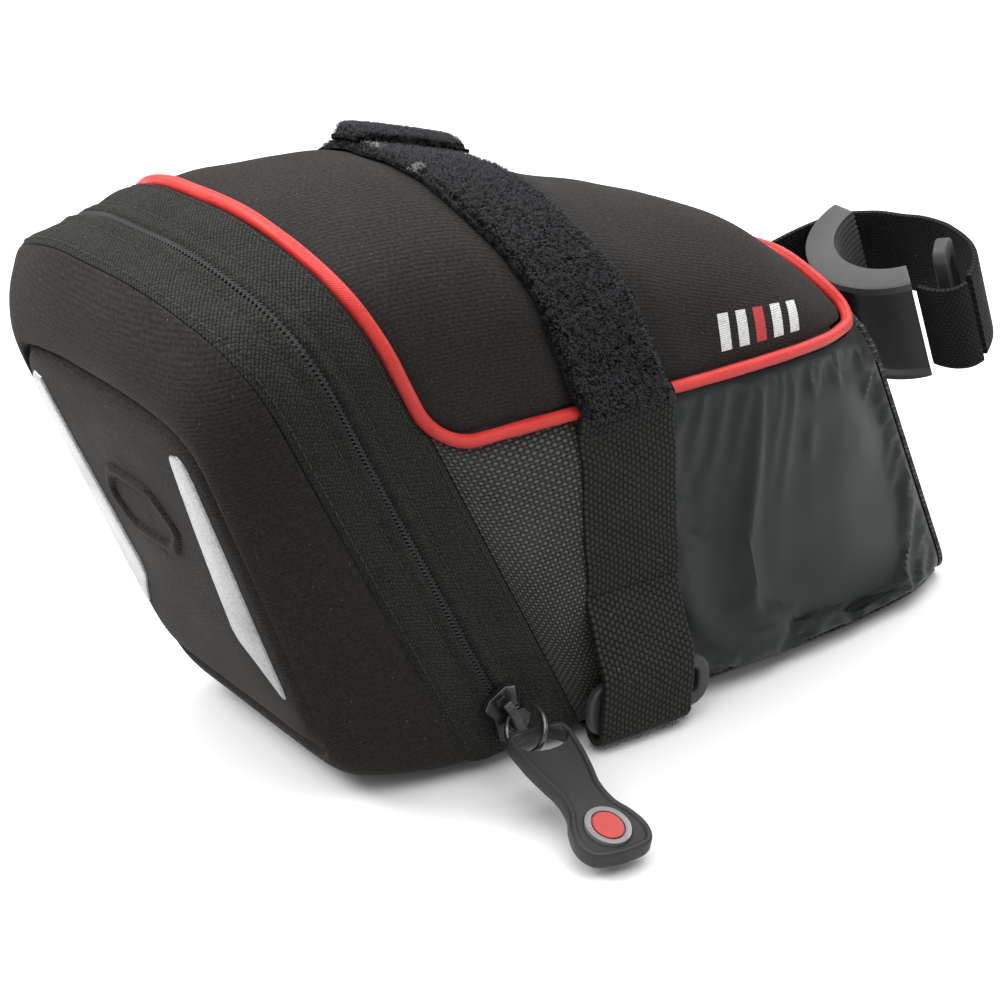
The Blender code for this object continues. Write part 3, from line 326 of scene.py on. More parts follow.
def slab_between(name, outer, inner, closed=False):
    """Solid between two equal grids of points, with the weave running the same way on both faces."""
    rows, columns = outer.shape[:2]
    quads = grid_faces(rows, columns, closed)
    below = rows * columns
    faces = [tuple(q) for q in quads] + [tuple(below + q[::-1]) for q in quads]
    for j in range(columns if closed else columns - 1):
        k = (j + 1) % columns
        top = (rows - 1) * columns
        faces.append((j, below + j, below + k, k))
        faces.append((top + j, top + k, below + top + k, below + top + j))
    if not closed:
        for i in range(rows - 1):
            a, b = i * columns, (i + 1) * columns
            faces.append((a, b, below + b, below + a))
            a, b = a + columns - 1, b + columns - 1
            faces.append((a, below + a, below + b, b))
    uv = surface_uv(outer).reshape(-1, 2)
    points = np.concatenate([outer.reshape(-1, 3), inner.reshape(-1, 3)])
    return facing_out(linked(name, points, faces, np.concatenate([uv, uv])))


def skin_slab(name, station, way, top, bottom):
    """Piece of the bag's skin between two heights over it."""
    return slab_between(name, at(station, way, top), at(station, way, bottom))


def frames_along(path, closed):
    """Tangent, side and up at each point of a path, with as little twist as possible."""
    if closed:
        tangent = np.roll(path, -1, axis=0) - np.roll(path, 1, axis=0)
    else:
        tangent = np.gradient(path, axis=0)
    tangent /= np.linalg.norm(tangent, axis=1)[:, None]
    side = np.zeros_like(path)
    guess = np.array([1.0, 0, 0]) if abs(tangent[0, 0]) < 0.8 else np.array([0, 0, 1.0])
    now = np.cross(tangent[0], guess)
    for i, t in enumerate(tangent):
        now = now - t * np.dot(now, t)
        now /= np.linalg.norm(now)
        side[i] = now
    if closed:
        left = side[-1] - tangent[0] * np.dot(side[-1], tangent[0])
        left /= np.linalg.norm(left)
        up = np.cross(tangent[0], side[0])
        twist = math.atan2(np.dot(left, up), np.dot(left, side[0]))
        turn = -twist * np.arange(len(path)) / len(path)
        up = np.cross(tangent, side)
        side = side * np.cos(turn)[:, None] + up * np.sin(turn)[:, None]
    return tangent, side, np.cross(tangent, side)


def tube(name, path, radius, closed=False, sides=12):
    """Round cord; radius may change along it."""
    path = np.asarray(path, float)
    _, side, up = frames_along(path, closed)
    radius = np.broadcast_to(np.asarray(radius, float), (len(path),))
    a = np.linspace(0, 2 * math.pi, sides, endpoint=False)
    ring = np.cos(a)[None, :, None] * side[:, None] + np.sin(a)[None, :, None] * up[:, None]
    points = path[:, None] + ring * radius[:, None, None]
    rows = len(path)
    quads = grid_faces(rows, sides, True)
    faces = [tuple(q) for q in quads]
    if closed:
        last = (rows - 1) * sides
        faces += [(last + k, last + (k + 1) % sides, (k + 1) % sides, k) for k in range(sides)]
    else:
        faces += [tuple(range(sides))[::-1], tuple((rows - 1) * sides + k for k in range(sides))]
    length = lengths_of(path)
    u = np.broadcast_to(a[None] * radius[:, None], (rows, sides))
    v = np.broadcast_to(length[:, None], (rows, sides))
    uv = np.stack([u, v], axis=-1).reshape(-1, 2) * MM
    return facing_out(linked(name, points.reshape(-1, 3), faces, uv))


def many_tubes(name, paths, radius, sides=5):
    """Many short cords in one object: paths is an array of cords by points by 3."""
    paths = np.asarray(paths, float)
    cords, count = paths.shape[:2]
    tangent = np.gradient(paths, axis=1)
    tangent /= np.maximum(np.linalg.norm(tangent, axis=2), 1e-9)[..., None]
    guess = np.where(np.abs(tangent[..., :1]) < 0.8, [[[1.0, 0, 0]]], [[[0, 0, 1.0]]])
    side = np.cross(tangent, guess)
    side /= np.linalg.norm(side, axis=2)[..., None]
    up = np.cross(tangent, side)
    a = np.linspace(0, 2 * math.pi, sides, endpoint=False)
    taper = np.ones(count)
    taper[0] = taper[-1] = 0.55
    ring = np.cos(a)[:, None] * side[:, :, None] + np.sin(a)[:, None] * up[:, :, None]
    points = paths[:, :, None] + ring * (radius * taper)[None, :, None, None]
    quads = grid_faces(count, sides, True)
    start = (np.arange(cords) * count * sides)[:, None, None]
    faces = (quads[None] + start).reshape(-1, 4).tolist()
    for k in range(cords):
        base = k * count * sides
        faces.append([base + s for s in reversed(range(sides))])
        faces.append([base + (count - 1) * sides + s for s in range(sides)])
    return linked(name, points.reshape(-1, 3), faces)


def stitch_paths(surface, line, pitch=2.6, share=0.74, height=0.16):
    """Threads of a lockstitch along a line of (station, way), each dipping into the cloth at its ends."""
    points = surface(line[:, 0], line[:, 1], 0.0)
    length = lengths_of(points)
    starts = np.arange(0, length[-1] - pitch, pitch)
    rows = []
    for t, lift in zip((0, 0.12, 0.5, 0.88, 1), (-0.25, 0.4, 1.0, 0.4, -0.25)):
        want = starts + pitch * share * t
        s, w = np.interp(want, length, line[:, 0]), np.interp(want, length, line[:, 1])
        rows.append(surface(s, w, height * lift))
    return np.stack(rows, axis=1)


def smooth_line(points, count):
    """Even points along a smooth curve through the given ones."""
    points = [np.array(p, float) for p in points]
    fine = []
    for i in range(len(points) - 1):
        before, after = points[max(i - 1, 0)], points[min(i + 2, len(points) - 1)]
        a, b = points[i], points[i + 1]
        for t in np.arange(24) / 24:
            fine.append(
                0.5
                * (
                    2 * a
                    + (b - before) * t
                    + (2 * before - 5 * a + 4 * b - after) * t**2
                    + (3 * a - before - 3 * b + after) * t**3
                )
            )
    fine.append(points[-1])
    fine = np.array(fine)
    length = lengths_of(fine)
    want = np.linspace(0, length[-1], count)
    return np.stack([np.interp(want, length, fine[:, k]) for k in range(fine.shape[1])], axis=1)


# ---------------------------------------------------------------- materials


class Finish:
    """One material and short calls for the nodes that its pattern needs."""

    def __init__(self, name, roughness, metallic=0.0, sheen=0.0, coat=0.0, specular=0.5):
        self.material = bpy.data.materials.new(name)
        self.material.use_nodes = True
        self.tree = self.material.node_tree
        self.shader = self.tree.nodes["Principled BSDF"]
        self.shader.inputs["Roughness"].default_value = roughness
        self.shader.inputs["Metallic"].default_value = metallic
        self.shader.inputs["Specular IOR Level"].default_value = specular
        self.shader.inputs["Sheen Weight"].default_value = sheen
        self.shader.inputs["Sheen Roughness"].default_value = 0.45
        self.shader.inputs["Coat Weight"].default_value = coat
        self.shader.inputs["Coat Roughness"].default_value = 0.25

    def put(self, socket, value):
        if isinstance(value, bpy.types.NodeSocket):
            self.tree.links.new(value, socket)
        elif value is not None:
            socket.default_value = value

    def add(self, kind, *values, **settings):
        node = self.tree.nodes.new(kind)
        for key, value in settings.items():
            setattr(node, key, value)
        for socket, value in zip(node.inputs, values):
            self.put(socket, value)
        return node

    def math(self, operation, *values):
        return self.add("ShaderNodeMath", *values, operation=operation).outputs[0]

    def coordinates(self, kind="UV"):
        return self.add("ShaderNodeTexCoord").outputs[kind]

    def axes(self, vector):
        split = self.add("ShaderNodeSeparateXYZ", vector)
        return split.outputs[0], split.outputs[1], split.outputs[2]

    def noise(self, vector, scale, detail=3.0, roughness=0.55):
        node = self.add("ShaderNodeTexNoise")
        self.put(node.inputs["Vector"], vector)
        self.put(node.inputs["Scale"], scale)
        self.put(node.inputs["Detail"], detail)
        self.put(node.inputs["Roughness"], roughness)
        return node.outputs[0]

    def cells(self, vector, scale, feature="F1"):
        node = self.add("ShaderNodeTexVoronoi", feature=feature)
        self.put(node.inputs["Vector"], vector)
        self.put(node.inputs["Scale"], scale)
        return node.outputs[0], node.outputs[1] if feature == "F1" else None

    def span(self, value, low, high, to_low=0.0, to_high=1.0):
        node = self.add("ShaderNodeMapRange", value, low, high, to_low, to_high)
        return node.outputs[0]

    def mix(self, share, a, b):
        node = self.add("ShaderNodeMix", data_type="RGBA")
        self.put(node.inputs[0], share)
        self.put(node.inputs[6], a)
        self.put(node.inputs[7], b)
        return node.outputs[2]

    def bump(self, height, depth):
        """depth is the pattern's real height in metres."""
        node = self.add("ShaderNodeBump")
        self.put(node.inputs["Strength"], 1.0)
        self.put(node.inputs["Distance"], depth)
        self.put(node.inputs["Height"], height)
        return node.outputs[0]

    def finish(self, colour, normal=None, roughness=None):
        self.put(self.shader.inputs["Base Color"], colour)
        self.put(self.shader.inputs["Normal"], normal)
        self.put(self.shader.inputs["Roughness"], roughness)
        return self.material

    def wave(self, value, pitch):
        """0 to 1 and back once per pitch, rounded like a thread."""
        turned = self.math("MULTIPLY", value, math.pi / pitch)
        return self.math("ABSOLUTE", self.math("SINE", turned))

    def checker(self, u, v, pitch):
        a = self.math("FLOOR", self.math("DIVIDE", u, pitch))
        b = self.math("FLOOR", self.math("DIVIDE", v, pitch))
        return self.math("FLOORED_MODULO", self.math("ADD", a, b), 2.0)

    def dust(self, vector, colour, amount=0.5, scale=900.0, size=0.10):
        """Sparse pale specks of lint."""
        near, tint = self.cells(vector, scale)
        speck = self.span(near, size, size * 0.6)
        pick = self.span(self.axes(tint)[0], 1.0 - 0.10 * amount, 1.0 - 0.09 * amount)
        return self.mix(self.math("MULTIPLY", speck, pick), colour, (0.33, 0.32, 0.30, 1))


def rgb(r, g, b):
    """sRGB bytes as a linear colour."""

    def linear(c):
        c = c / 255
        return c / 12.92 if c <= 0.04045 else ((c + 0.055) / 1.055) ** 2.4

    return (linear(r), linear(g), linear(b), 1.0)


def knit_finish(name, dark, light, rib_axis, pitch=0.00046):
    """Fine ribbed knit bonded to foam."""
    f = Finish(name, 0.8, sheen=0.03, specular=0.1)
    uv = f.coordinates()
    u, v, _ = f.axes(uv)
    along, across = (v, u) if rib_axis == "u" else (u, v)
    waver = f.math("MULTIPLY", f.noise(uv, 90.0, 2.0), 0.0009)
    rib = f.wave(f.math("ADD", along, waver), pitch)
    loops = f.wave(across, pitch * 1.35)
    height = f.math("MULTIPLY", rib, f.math("MULTIPLY_ADD", loops, 0.3, 0.7))
    broad = f.noise(uv, 45.0, 3.0)
    grain = f.span(f.noise(uv, 1300.0, 2.0, 0.8), 0.34, 0.68)
    # Colour: a little paler on the rib crowns and darker in the grooves between ribs (painted shade), over
    # random broad tone and grain.
    shade = f.math("ADD", f.math("MULTIPLY", rib, 0.18), f.math("MULTIPLY", broad, 0.5))
    shade = f.math("MULTIPLY_ADD", grain, 0.6, f.math("SUBTRACT", shade, 0.08))
    colour = f.dust(uv, f.mix(shade, dark, light), 0.8)
    rough = f.span(broad, 0.3, 0.7, 0.72, 0.9)
    return f.finish(colour, f.bump(height, 0.00006), rough)


def twill_finish(name, dark, light, pitch=0.00085):
    """Tape cloth with diagonal ribs, coloured darker in the small pits between them: painted shade."""
    f = Finish(name, 0.85, sheen=0.02, specular=0.08)
    uv = f.coordinates()
    u, v, _ = f.axes(uv)
    jitter = f.noise(uv, 900.0, 1.0)
    u2 = f.math("MULTIPLY_ADD", jitter, 0.0012, u)
    v2 = f.math("MULTIPLY_ADD", jitter, -0.0012, v)
    a = f.wave(f.math("ADD", u2, v2), pitch)
    b = f.wave(f.math("SUBTRACT", u2, f.math("MULTIPLY", v2, 0.6)), pitch)
    weave = f.math("MULTIPLY", f.math("POWER", a, 0.5), f.math("POWER", b, 0.4))
    grains = f.span(f.noise(uv, 1300.0, 2.0, 0.8), 0.35, 0.7)
    broad = f.noise(uv, 60.0, 3.0)
    height = f.math("MULTIPLY_ADD", grains, 0.5, weave)
    # Colour follows the weave's height: painted shade in the pits between ribs, with random grain and broad
    # tone.
    shade = f.math("MULTIPLY", weave, f.math("MULTIPLY_ADD", grains, 0.8, 0.35))
    shade = f.math("MULTIPLY_ADD", broad, 0.25, f.math("MULTIPLY", shade, 0.85))
    colour = f.dust(uv, f.mix(shade, dark, light), 0.35)
    return f.finish(colour, f.bump(height, 0.00022))


def basket_finish(name, dark, light, pitch, depth, sheen=0.03, roughness=0.6, specular=0.25, spread_of=0.3):
    """Plain weave: threads over and under each other, coloured paler on their crowns and darker between them,
    which is painted shade.
    """
    f = Finish(name, roughness, sheen=sheen, specular=specular)
    uv = f.coordinates()
    u, v, _ = f.axes(uv)
    over = f.checker(u, v, pitch)
    a, b = f.wave(u, pitch), f.wave(v, pitch)
    warp = f.math("MULTIPLY", f.math("POWER", a, 0.5), f.math("MULTIPLY_ADD", b, 0.55, 0.45))
    weft = f.math("MULTIPLY", f.math("POWER", b, 0.5), f.math("MULTIPLY_ADD", a, 0.3, 0.25))
    under = f.math("SUBTRACT", 1.0, over)
    height = f.math("ADD", f.math("MULTIPLY", warp, over), f.math("MULTIPLY", weft, under))
    threads = f.noise(uv, 1.6 / pitch, 2.0, 0.6)
    broad = f.noise(uv, 50.0, 3.0)
    # Colour follows thread height: painted light on the crowns, painted shade between threads, with random
    # thread and broad tone.
    shade = f.math("POWER", height, 1.5)
    shade = f.math("MULTIPLY", shade, f.math("MULTIPLY_ADD", threads, 0.8, 0.6))
    shade = f.math("MULTIPLY_ADD", f.math("SUBTRACT", broad, 0.5), spread_of, shade)
    colour = f.dust(uv, f.mix(shade, dark, light), 0.3)
    return f.finish(colour, f.bump(height, depth))


def webbing_finish(name, dark, light, pitch_u=0.00115, pitch_v=0.0016, depth=0.00035):
    """Coarse narrow webbing: staggered rows of short plump stitches."""
    f = Finish(name, 0.75, sheen=0.02, specular=0.12)
    uv = f.coordinates()
    u, v, _ = f.axes(uv)
    row = f.math("FLOOR", f.math("DIVIDE", u, pitch_u))
    shift = f.math("MULTIPLY", f.math("FLOORED_MODULO", row, 2.0), pitch_v / 2)
    wobble = f.math("MULTIPLY", f.noise(uv, 500.0, 1.0), 0.0005)
    grain = f.wave(f.math("ADD", f.math("ADD", v, shift), wobble), pitch_v)
    column = f.wave(u, pitch_u)
    height = f.math("MULTIPLY", f.math("POWER", grain, 0.6), f.math("POWER", column, 0.5))
    fibres = f.noise(uv, 3500.0, 2.0, 0.7)
    broad = f.noise(uv, 80.0, 3.0)
    # Colour follows stitch height: painted light on the stitch tops, painted shade between stitches, with
    # random fibre and broad tone.
    shade = f.math("MULTIPLY", f.math("POWER", height, 1.6), f.math("MULTIPLY_ADD", fibres, 1.2, 0.2))
    shade = f.math("MULTIPLY_ADD", broad, 0.1, shade)
    tall = f.math("MULTIPLY_ADD", fibres, 0.25, height)
    colour = f.dust(uv, f.mix(shade, dark, light), 0.6, 700.0)
    return f.finish(colour, f.bump(tall, depth))


def pile_finish(name, dark, light):
    f = Finish(name, 0.95, sheen=0.03, specular=0.06)
    place = f.coordinates("Object")
    clumps = f.noise(place, 750.0, 3.0, 0.75)
    fine = f.noise(place, 2300.0, 2.0, 0.8)
    height = f.math("MULTIPLY_ADD", fine, 0.6, clumps)
    # Colour follows the pile's height: clump tips painted light, the hollows between clumps painted shade,
    # with pale lint specks.
    shade = f.span(height, 0.72, 1.0)
    return f.finish(f.dust(place, f.mix(shade, dark, light), 0.8, 800.0), f.bump(height, 0.0009))


def cord_finish(name, base, worn):
    """Satin piping cloth: fine slanted weave, a little paler where it has rubbed."""
    f = Finish(name, 0.42, sheen=0.05, coat=0.1, specular=0.4)
    uv = f.coordinates()
    u, v, _ = f.axes(uv)
    weave = f.wave(f.math("ADD", v, f.math("MULTIPLY", u, 0.8)), 0.00042)
    broad = f.noise(uv, 110.0, 3.0)
    colour = f.mix(f.span(broad, 0.35, 0.75), base, worn)
    # Darker red in the grooves of the slanted weave: painted shade.
    colour = f.mix(f.math("MULTIPLY", f.math("SUBTRACT", 1.0, weave), 0.18), colour, rgb(150, 38, 36))
    return f.finish(colour, f.bump(weave, 0.00005), f.span(broad, 0.3, 0.7, 0.36, 0.52))


def moulded_finish(name, base, worn, roughness, grain=1500.0, depth=0.00005, coat=0.0, specular=0.5):
    """Moulded plastic or rubber: fine grain, faint mottling, paler edges and scuffs."""
    f = Finish(name, roughness, coat=coat, specular=specular)
    place = f.coordinates("Object")
    fine, broad = f.noise(place, grain, 2.0), f.noise(place, 70.0, 4.0)
    scuffs = f.noise(place, 330.0, 5.0, 0.8)
    edge = f.add("ShaderNodeNewGeometry").outputs["Pointiness"]
    wear = f.math("MULTIPLY", f.span(edge, 0.52, 0.62), 0.6)
    wear = f.math("ADD", wear, f.math("MULTIPLY", f.span(scuffs, 0.62, 0.75), 0.35))
    colour = f.mix(f.math("MULTIPLY_ADD", broad, 0.5, wear), base, worn)
    return f.finish(colour, f.bump(fine, depth), f.span(scuffs, 0.3, 0.7, roughness - 0.07, roughness + 0.08))


def metal_finish(name, base, bright, roughness, metallic):
    """Enamelled die-cast metal, rubbed towards bare metal on its edges."""
    f = Finish(name, roughness, metallic=metallic, coat=0.15)
    place = f.coordinates("Object")
    broad, scuffs = f.noise(place, 180.0, 4.0), f.noise(place, 1400.0, 3.0, 0.7)
    edge = f.add("ShaderNodeNewGeometry").outputs["Pointiness"]
    rubbed = f.math("MULTIPLY", f.span(edge, 0.53, 0.6), f.span(broad, 0.4, 0.6))
    colour = f.mix(f.math("MULTIPLY_ADD", scuffs, 0.12, rubbed), base, bright)
    rough = f.span(scuffs, 0.3, 0.7, roughness - 0.06, roughness + 0.12)
    return f.finish(colour, f.bump(scuffs, 0.00002), rough)


def film_finish(name):
    """Silver retroreflective film: small hexagonal cells under a thin clear face."""
    f = Finish(name, 0.35, metallic=0.35, coat=0.4)
    place = f.coordinates("Object")
    cell, _ = f.cells(place, 900.0, "DISTANCE_TO_EDGE")
    broad = f.noise(place, 60.0, 4.0)
    line = f.span(cell, 0.0, 0.12)
    base = f.mix(line, rgb(138, 138, 140), rgb(166, 167, 169))
    colour = f.mix(f.math("MULTIPLY", f.span(broad, 0.5, 0.8), 0.35), base, rgb(104, 102, 99))
    return f.finish(colour, f.bump(line, 0.00003), f.span(broad, 0.3, 0.7, 0.28, 0.45))


def thread_finish(name, base, light):
    f = Finish(name, 0.6, sheen=0.05, specular=0.2)
    place = f.coordinates("Object")
    ply = f.noise(place, 3200.0, 2.0)
    return f.finish(f.mix(ply, base, light), f.bump(ply, 0.00006))


def print_finish(name, base, flaw):
    """Screen-printed ink, thin where the knit's ribs show through."""
    f = Finish(name, 0.5, sheen=0.1)
    place = f.coordinates("Object")
    _, _, z = f.axes(place)
    rib = f.wave(z, 0.00046)
    patchy = f.noise(place, 900.0, 3.0, 0.7)
    between = f.math("SUBTRACT", 1.0, f.math("MULTIPLY", rib, 0.6))
    share = f.math("MULTIPLY", f.span(patchy, 0.5, 0.75), between)
    return f.finish(f.mix(share, base, flaw), f.bump(f.math("MULTIPLY_ADD", patchy, 0.3, rib), 0.00008))


KNIT_TOP = knit_finish("knit_top", rgb(7, 6, 6), rgb(58, 56, 54), "v", 0.00105)
KNIT_SHELL = knit_finish("knit_shell", rgb(7, 6, 6), rgb(58, 55, 52), "u", 0.00095)
TWILL = twill_finish("tape_twill", rgb(0, 0, 0), rgb(70, 70, 66), 0.00105)
BASKET = basket_finish("basket_weave", rgb(0, 0, 0), rgb(114, 114, 110), 0.00095, 0.00034, specular=0.12)
SLATE = basket_finish("slate_nylon", rgb(8, 15, 15), rgb(34, 44, 41), 0.00022, 0.00004, 0.03, 0.40, 0.2, 0.6)
LINING = basket_finish("lining_taffeta", rgb(90, 92, 96), rgb(150, 152, 156), 0.00026, 0.00005, 0.3, 0.5)
WEBBING = webbing_finish("webbing", rgb(0, 0, 0), rgb(70, 70, 66))
LOOP_WEB = webbing_finish("loop_webbing", rgb(6, 6, 7), rgb(42, 42, 44), 0.0010, 0.0013, 0.00022)
PILE = pile_finish("loop_pile", rgb(0, 0, 0), rgb(56, 55, 54))
FIBRE = thread_finish("pile_fibre", rgb(8, 8, 10), rgb(104, 104, 110))
LINT = thread_finish("lint", rgb(120, 120, 120), rgb(200, 200, 200))
CORAL = cord_finish("coral_cord", rgb(222, 42, 38), rgb(232, 66, 58))
THREAD = thread_finish("black_thread", rgb(20, 20, 21), rgb(62, 62, 64))
COIL = moulded_finish("zip_coil", rgb(10, 10, 11), rgb(40, 40, 42), 0.4, specular=0.3)
RUBBER = moulded_finish("pull_rubber", rgb(32, 32, 33), rgb(60, 60, 61), 0.5, 2200.0, 0.00004, specular=0.35)
PAD_RUBBER = moulded_finish(
    "pad_rubber", rgb(56, 56, 57), rgb(92, 92, 93), 0.6, 1800.0, 0.00006, specular=0.3
)
PLASTIC = moulded_finish(
    "buckle_plastic", rgb(42, 42, 43), rgb(78, 78, 79), 0.45, 2600.0, 0.00005, specular=0.4
)
BOARD = moulded_finish("base_board", rgb(30, 30, 31), rgb(60, 60, 62), 0.6, 900.0, 0.0001)
METAL = metal_finish("slider_enamel", rgb(26, 26, 28), rgb(140, 138, 135), 0.3, 0.6)
WIRE = metal_finish("ring_wire", rgb(70, 69, 68), rgb(190, 186, 180), 0.25, 0.9)
FILM = film_finish("reflective_film")
GREY = moulded_finish("badge_grey", rgb(112, 112, 114), rgb(148, 148, 150), 0.4, 2600.0, 0.00002)
RED = moulded_finish("badge_red", rgb(176, 26, 22), rgb(196, 50, 44), 0.4, 2600.0, 0.00002, 0.2)
WHITE_INK = print_finish("white_ink", rgb(228, 228, 226), rgb(120, 118, 116))
RED_INK = print_finish("red_ink", rgb(196, 40, 44), rgb(110, 40, 40))


def piece(obj, body, finish, replaces=()):
    """Gives a piece its material and body, and hides the plain CAD nodes that it stands for."""
    obj.data.materials.clear()
    obj.data.materials.append(finish)
    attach(obj, body)
    if replaces:
        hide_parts(*([replaces] if isinstance(replaces, str) else replaces))
    return obj


# ---------------------------------------------------------------- body panels


def edge_fall(distance, deep=1.0, reach=1.8):
    """How far cloth is pulled in beside a seam."""
    return -deep * np.exp(-np.maximum(distance, 0.0) / reach)


def add_top_panel():
    rear, front = TAPE + PIPING_CLEAR + 0.1, PIPING_FRONT - PIPING_CLEAR - 0.1
    station = rear + (front - rear) * spread(0, 1, 120)[:, None]
    share = spread(-1, 1, 181)[None, :]
    arc = half_arc(station)
    width = arc - drawn_in(station, 1)
    way = share * width / arc
    to_side = width * (1 - np.abs(share))
    edge = np.minimum(np.minimum(to_side, station - rear), front - station)
    side_way = share * arc
    under_strap = np.exp(-((np.abs(station - strap_station(way)) / 15.0) ** 6))
    soft = 0.28 * waves(side_way, station, 7, 16, 46, 3) * np.clip(edge / 8, 0, 1)
    swell = 0.35 * np.exp(-(((np.abs(station - strap_station(way)) - 19.0) / 4.5) ** 2))
    top = edge_fall(edge, 0.9) + soft * (1 - under_strap) + swell - 0.25 * under_strap
    made = skin_slab("top_panel_foam", station, way, top, -2.8 + 0 * top)
    piece(made, "bag", KNIT_TOP, "top_panel")
    return made


def side_rows(start, end, count, ways_count):
    """Station, way, and distances to the four edges for one side panel."""
    t = spread(0, 1, count)[:, None]
    share = spread(0, 1, ways_count)[None, :]
    way0 = 1.0 + share
    station = start(way0) + (end(way0) - start(way0)) * t
    arc = half_arc(station)
    first = 1.0 - drawn_in(station, -1) / arc
    first = np.where(first > 1.0, 1.0 + (first - 1.0) * arc / SIDE_ARC, first)
    way = first + (SIDE_END - first) * share
    to_top, to_bottom = (way - first) * SIDE_ARC, (SIDE_END - way) * SIDE_ARC
    to_rear, to_front = station - start(way0), end(way0) - station
    return station, way, to_top, to_bottom, to_rear, to_front


def rear_start(way):
    return TAPE + 0.3 + 0 * way


def rear_end(way):
    return strap_station(way) - 0.15


def front_start(way):
    return strap_station(way) + 0.15


def front_end(way):
    return FRONT - 0.5 + 0 * way


def draped(grid):
    """Slack nylon between its seams: a cloth simulation with the edges held, applied to the points."""
    rows, columns = grid.shape[:2]
    cloth = linked("cloth_trial", grid.reshape(-1, 3), grid_faces(rows, columns))
    held = cloth.vertex_groups.new(name="held")
    index = np.arange(rows * columns).reshape(rows, columns)
    borders = (index[:2], index[-2:], index[:, :2], index[:, -2:])
    rim = np.unique(np.concatenate([border.ravel() for border in borders]))
    held.add(rim.tolist(), 1.0, "REPLACE")
    settings = cloth.modifiers.new("cloth", "CLOTH").settings
    settings.quality = 6
    settings.mass = 0.25
    settings.tension_stiffness = settings.compression_stiffness = 25.0
    settings.shear_stiffness = 12.0
    settings.bending_stiffness = 0.02
    settings.vertex_group_mass = "held"
    settings.shrink_min = settings.shrink_max = -0.035
    settings.use_pressure = True
    settings.uniform_pressure_force = 0.6
    settings.effector_weights.gravity = 0.15
    scene = bpy.context.scene
    scene.frame_start, scene.frame_end = 1, DRAPE_FRAMES
    for frame_now in range(1, DRAPE_FRAMES + 1):
        scene.frame_set(frame_now)
    graph = bpy.context.evaluated_depsgraph_get()
    settled = cloth.evaluated_get(graph).to_mesh()
    points = np.empty(len(settled.vertices) * 3)
    settled.vertices.foreach_get("co", points)
    moved = points.reshape(grid.shape) / MM - grid
    bpy.data.objects.remove(cloth, do_unlink=True)
    scene.frame_set(1)
    moved -= moved * [0, 1, 0] * 0.5
    size = np.linalg.norm(moved, axis=2)[..., None]
    return grid + moved * np.minimum(1.0, DRAPE_MOST / np.maximum(size, 1e-6))


def add_side_panels():
    for side, name in ((1, "right"), (-1, "left")):
        station, way, top, bottom, rear, front = side_rows(rear_start, rear_end, 60, 110)
        edge = np.minimum(np.minimum(top, bottom), np.minimum(rear, front))
        soft = 0.3 * waves(way * SIDE_ARC, station, 6, 12, 40, 11 + side) * np.clip(edge / 5, 0, 1)
        puff = 0.5 * np.sin(math.pi * np.clip(rear / (rear + front), 0, 1)) * np.clip(edge / 6, 0, 1)
        lift = edge_fall(edge, 0.7, 1.4) + soft + puff
        made = skin_slab(f"rear_side_{name}", station, side * way, lift, lift - 1.2)
        piece(made, "bag", BASKET, f"side_panel_rear_{name}")

        station, way, top, bottom, rear, front = side_rows(front_start, front_end, 78, 64)
        edge = np.minimum(np.minimum(top, bottom), np.minimum(rear, front))
        height = PIPING_HEIGHT - top
        slant = (station - 12.0) * 0.62 + height * 0.78
        folds = np.sin(slant / 6.1 + 0.8 * np.sin(station / 13.0)) * np.exp(-(((station - 52.0) / 30.0) ** 2))
        folds = folds + 0.5 * np.sin(slant / 3.4 + 1.0) * np.exp(-(((height - 40.0) / 22.0) ** 2))
        inner_part = np.clip(edge / 9, 0, 1)
        soft = 0.28 * waves(way * 76, station, 5, 12, 34, 5 + side)
        lift = edge_fall(edge, 0.7, 1.4) + inner_part * (0.62 * folds + soft)
        outer = at(station, side * way, lift)
        outer = draped(outer)
        dip = at(station, side * way, lift - 1.0) - at(station, side * way, lift)
        made = slab_between(f"front_side_{name}", outer, outer + dip)
        piece(made, "bag", SLATE, f"side_panel_front_{name}")


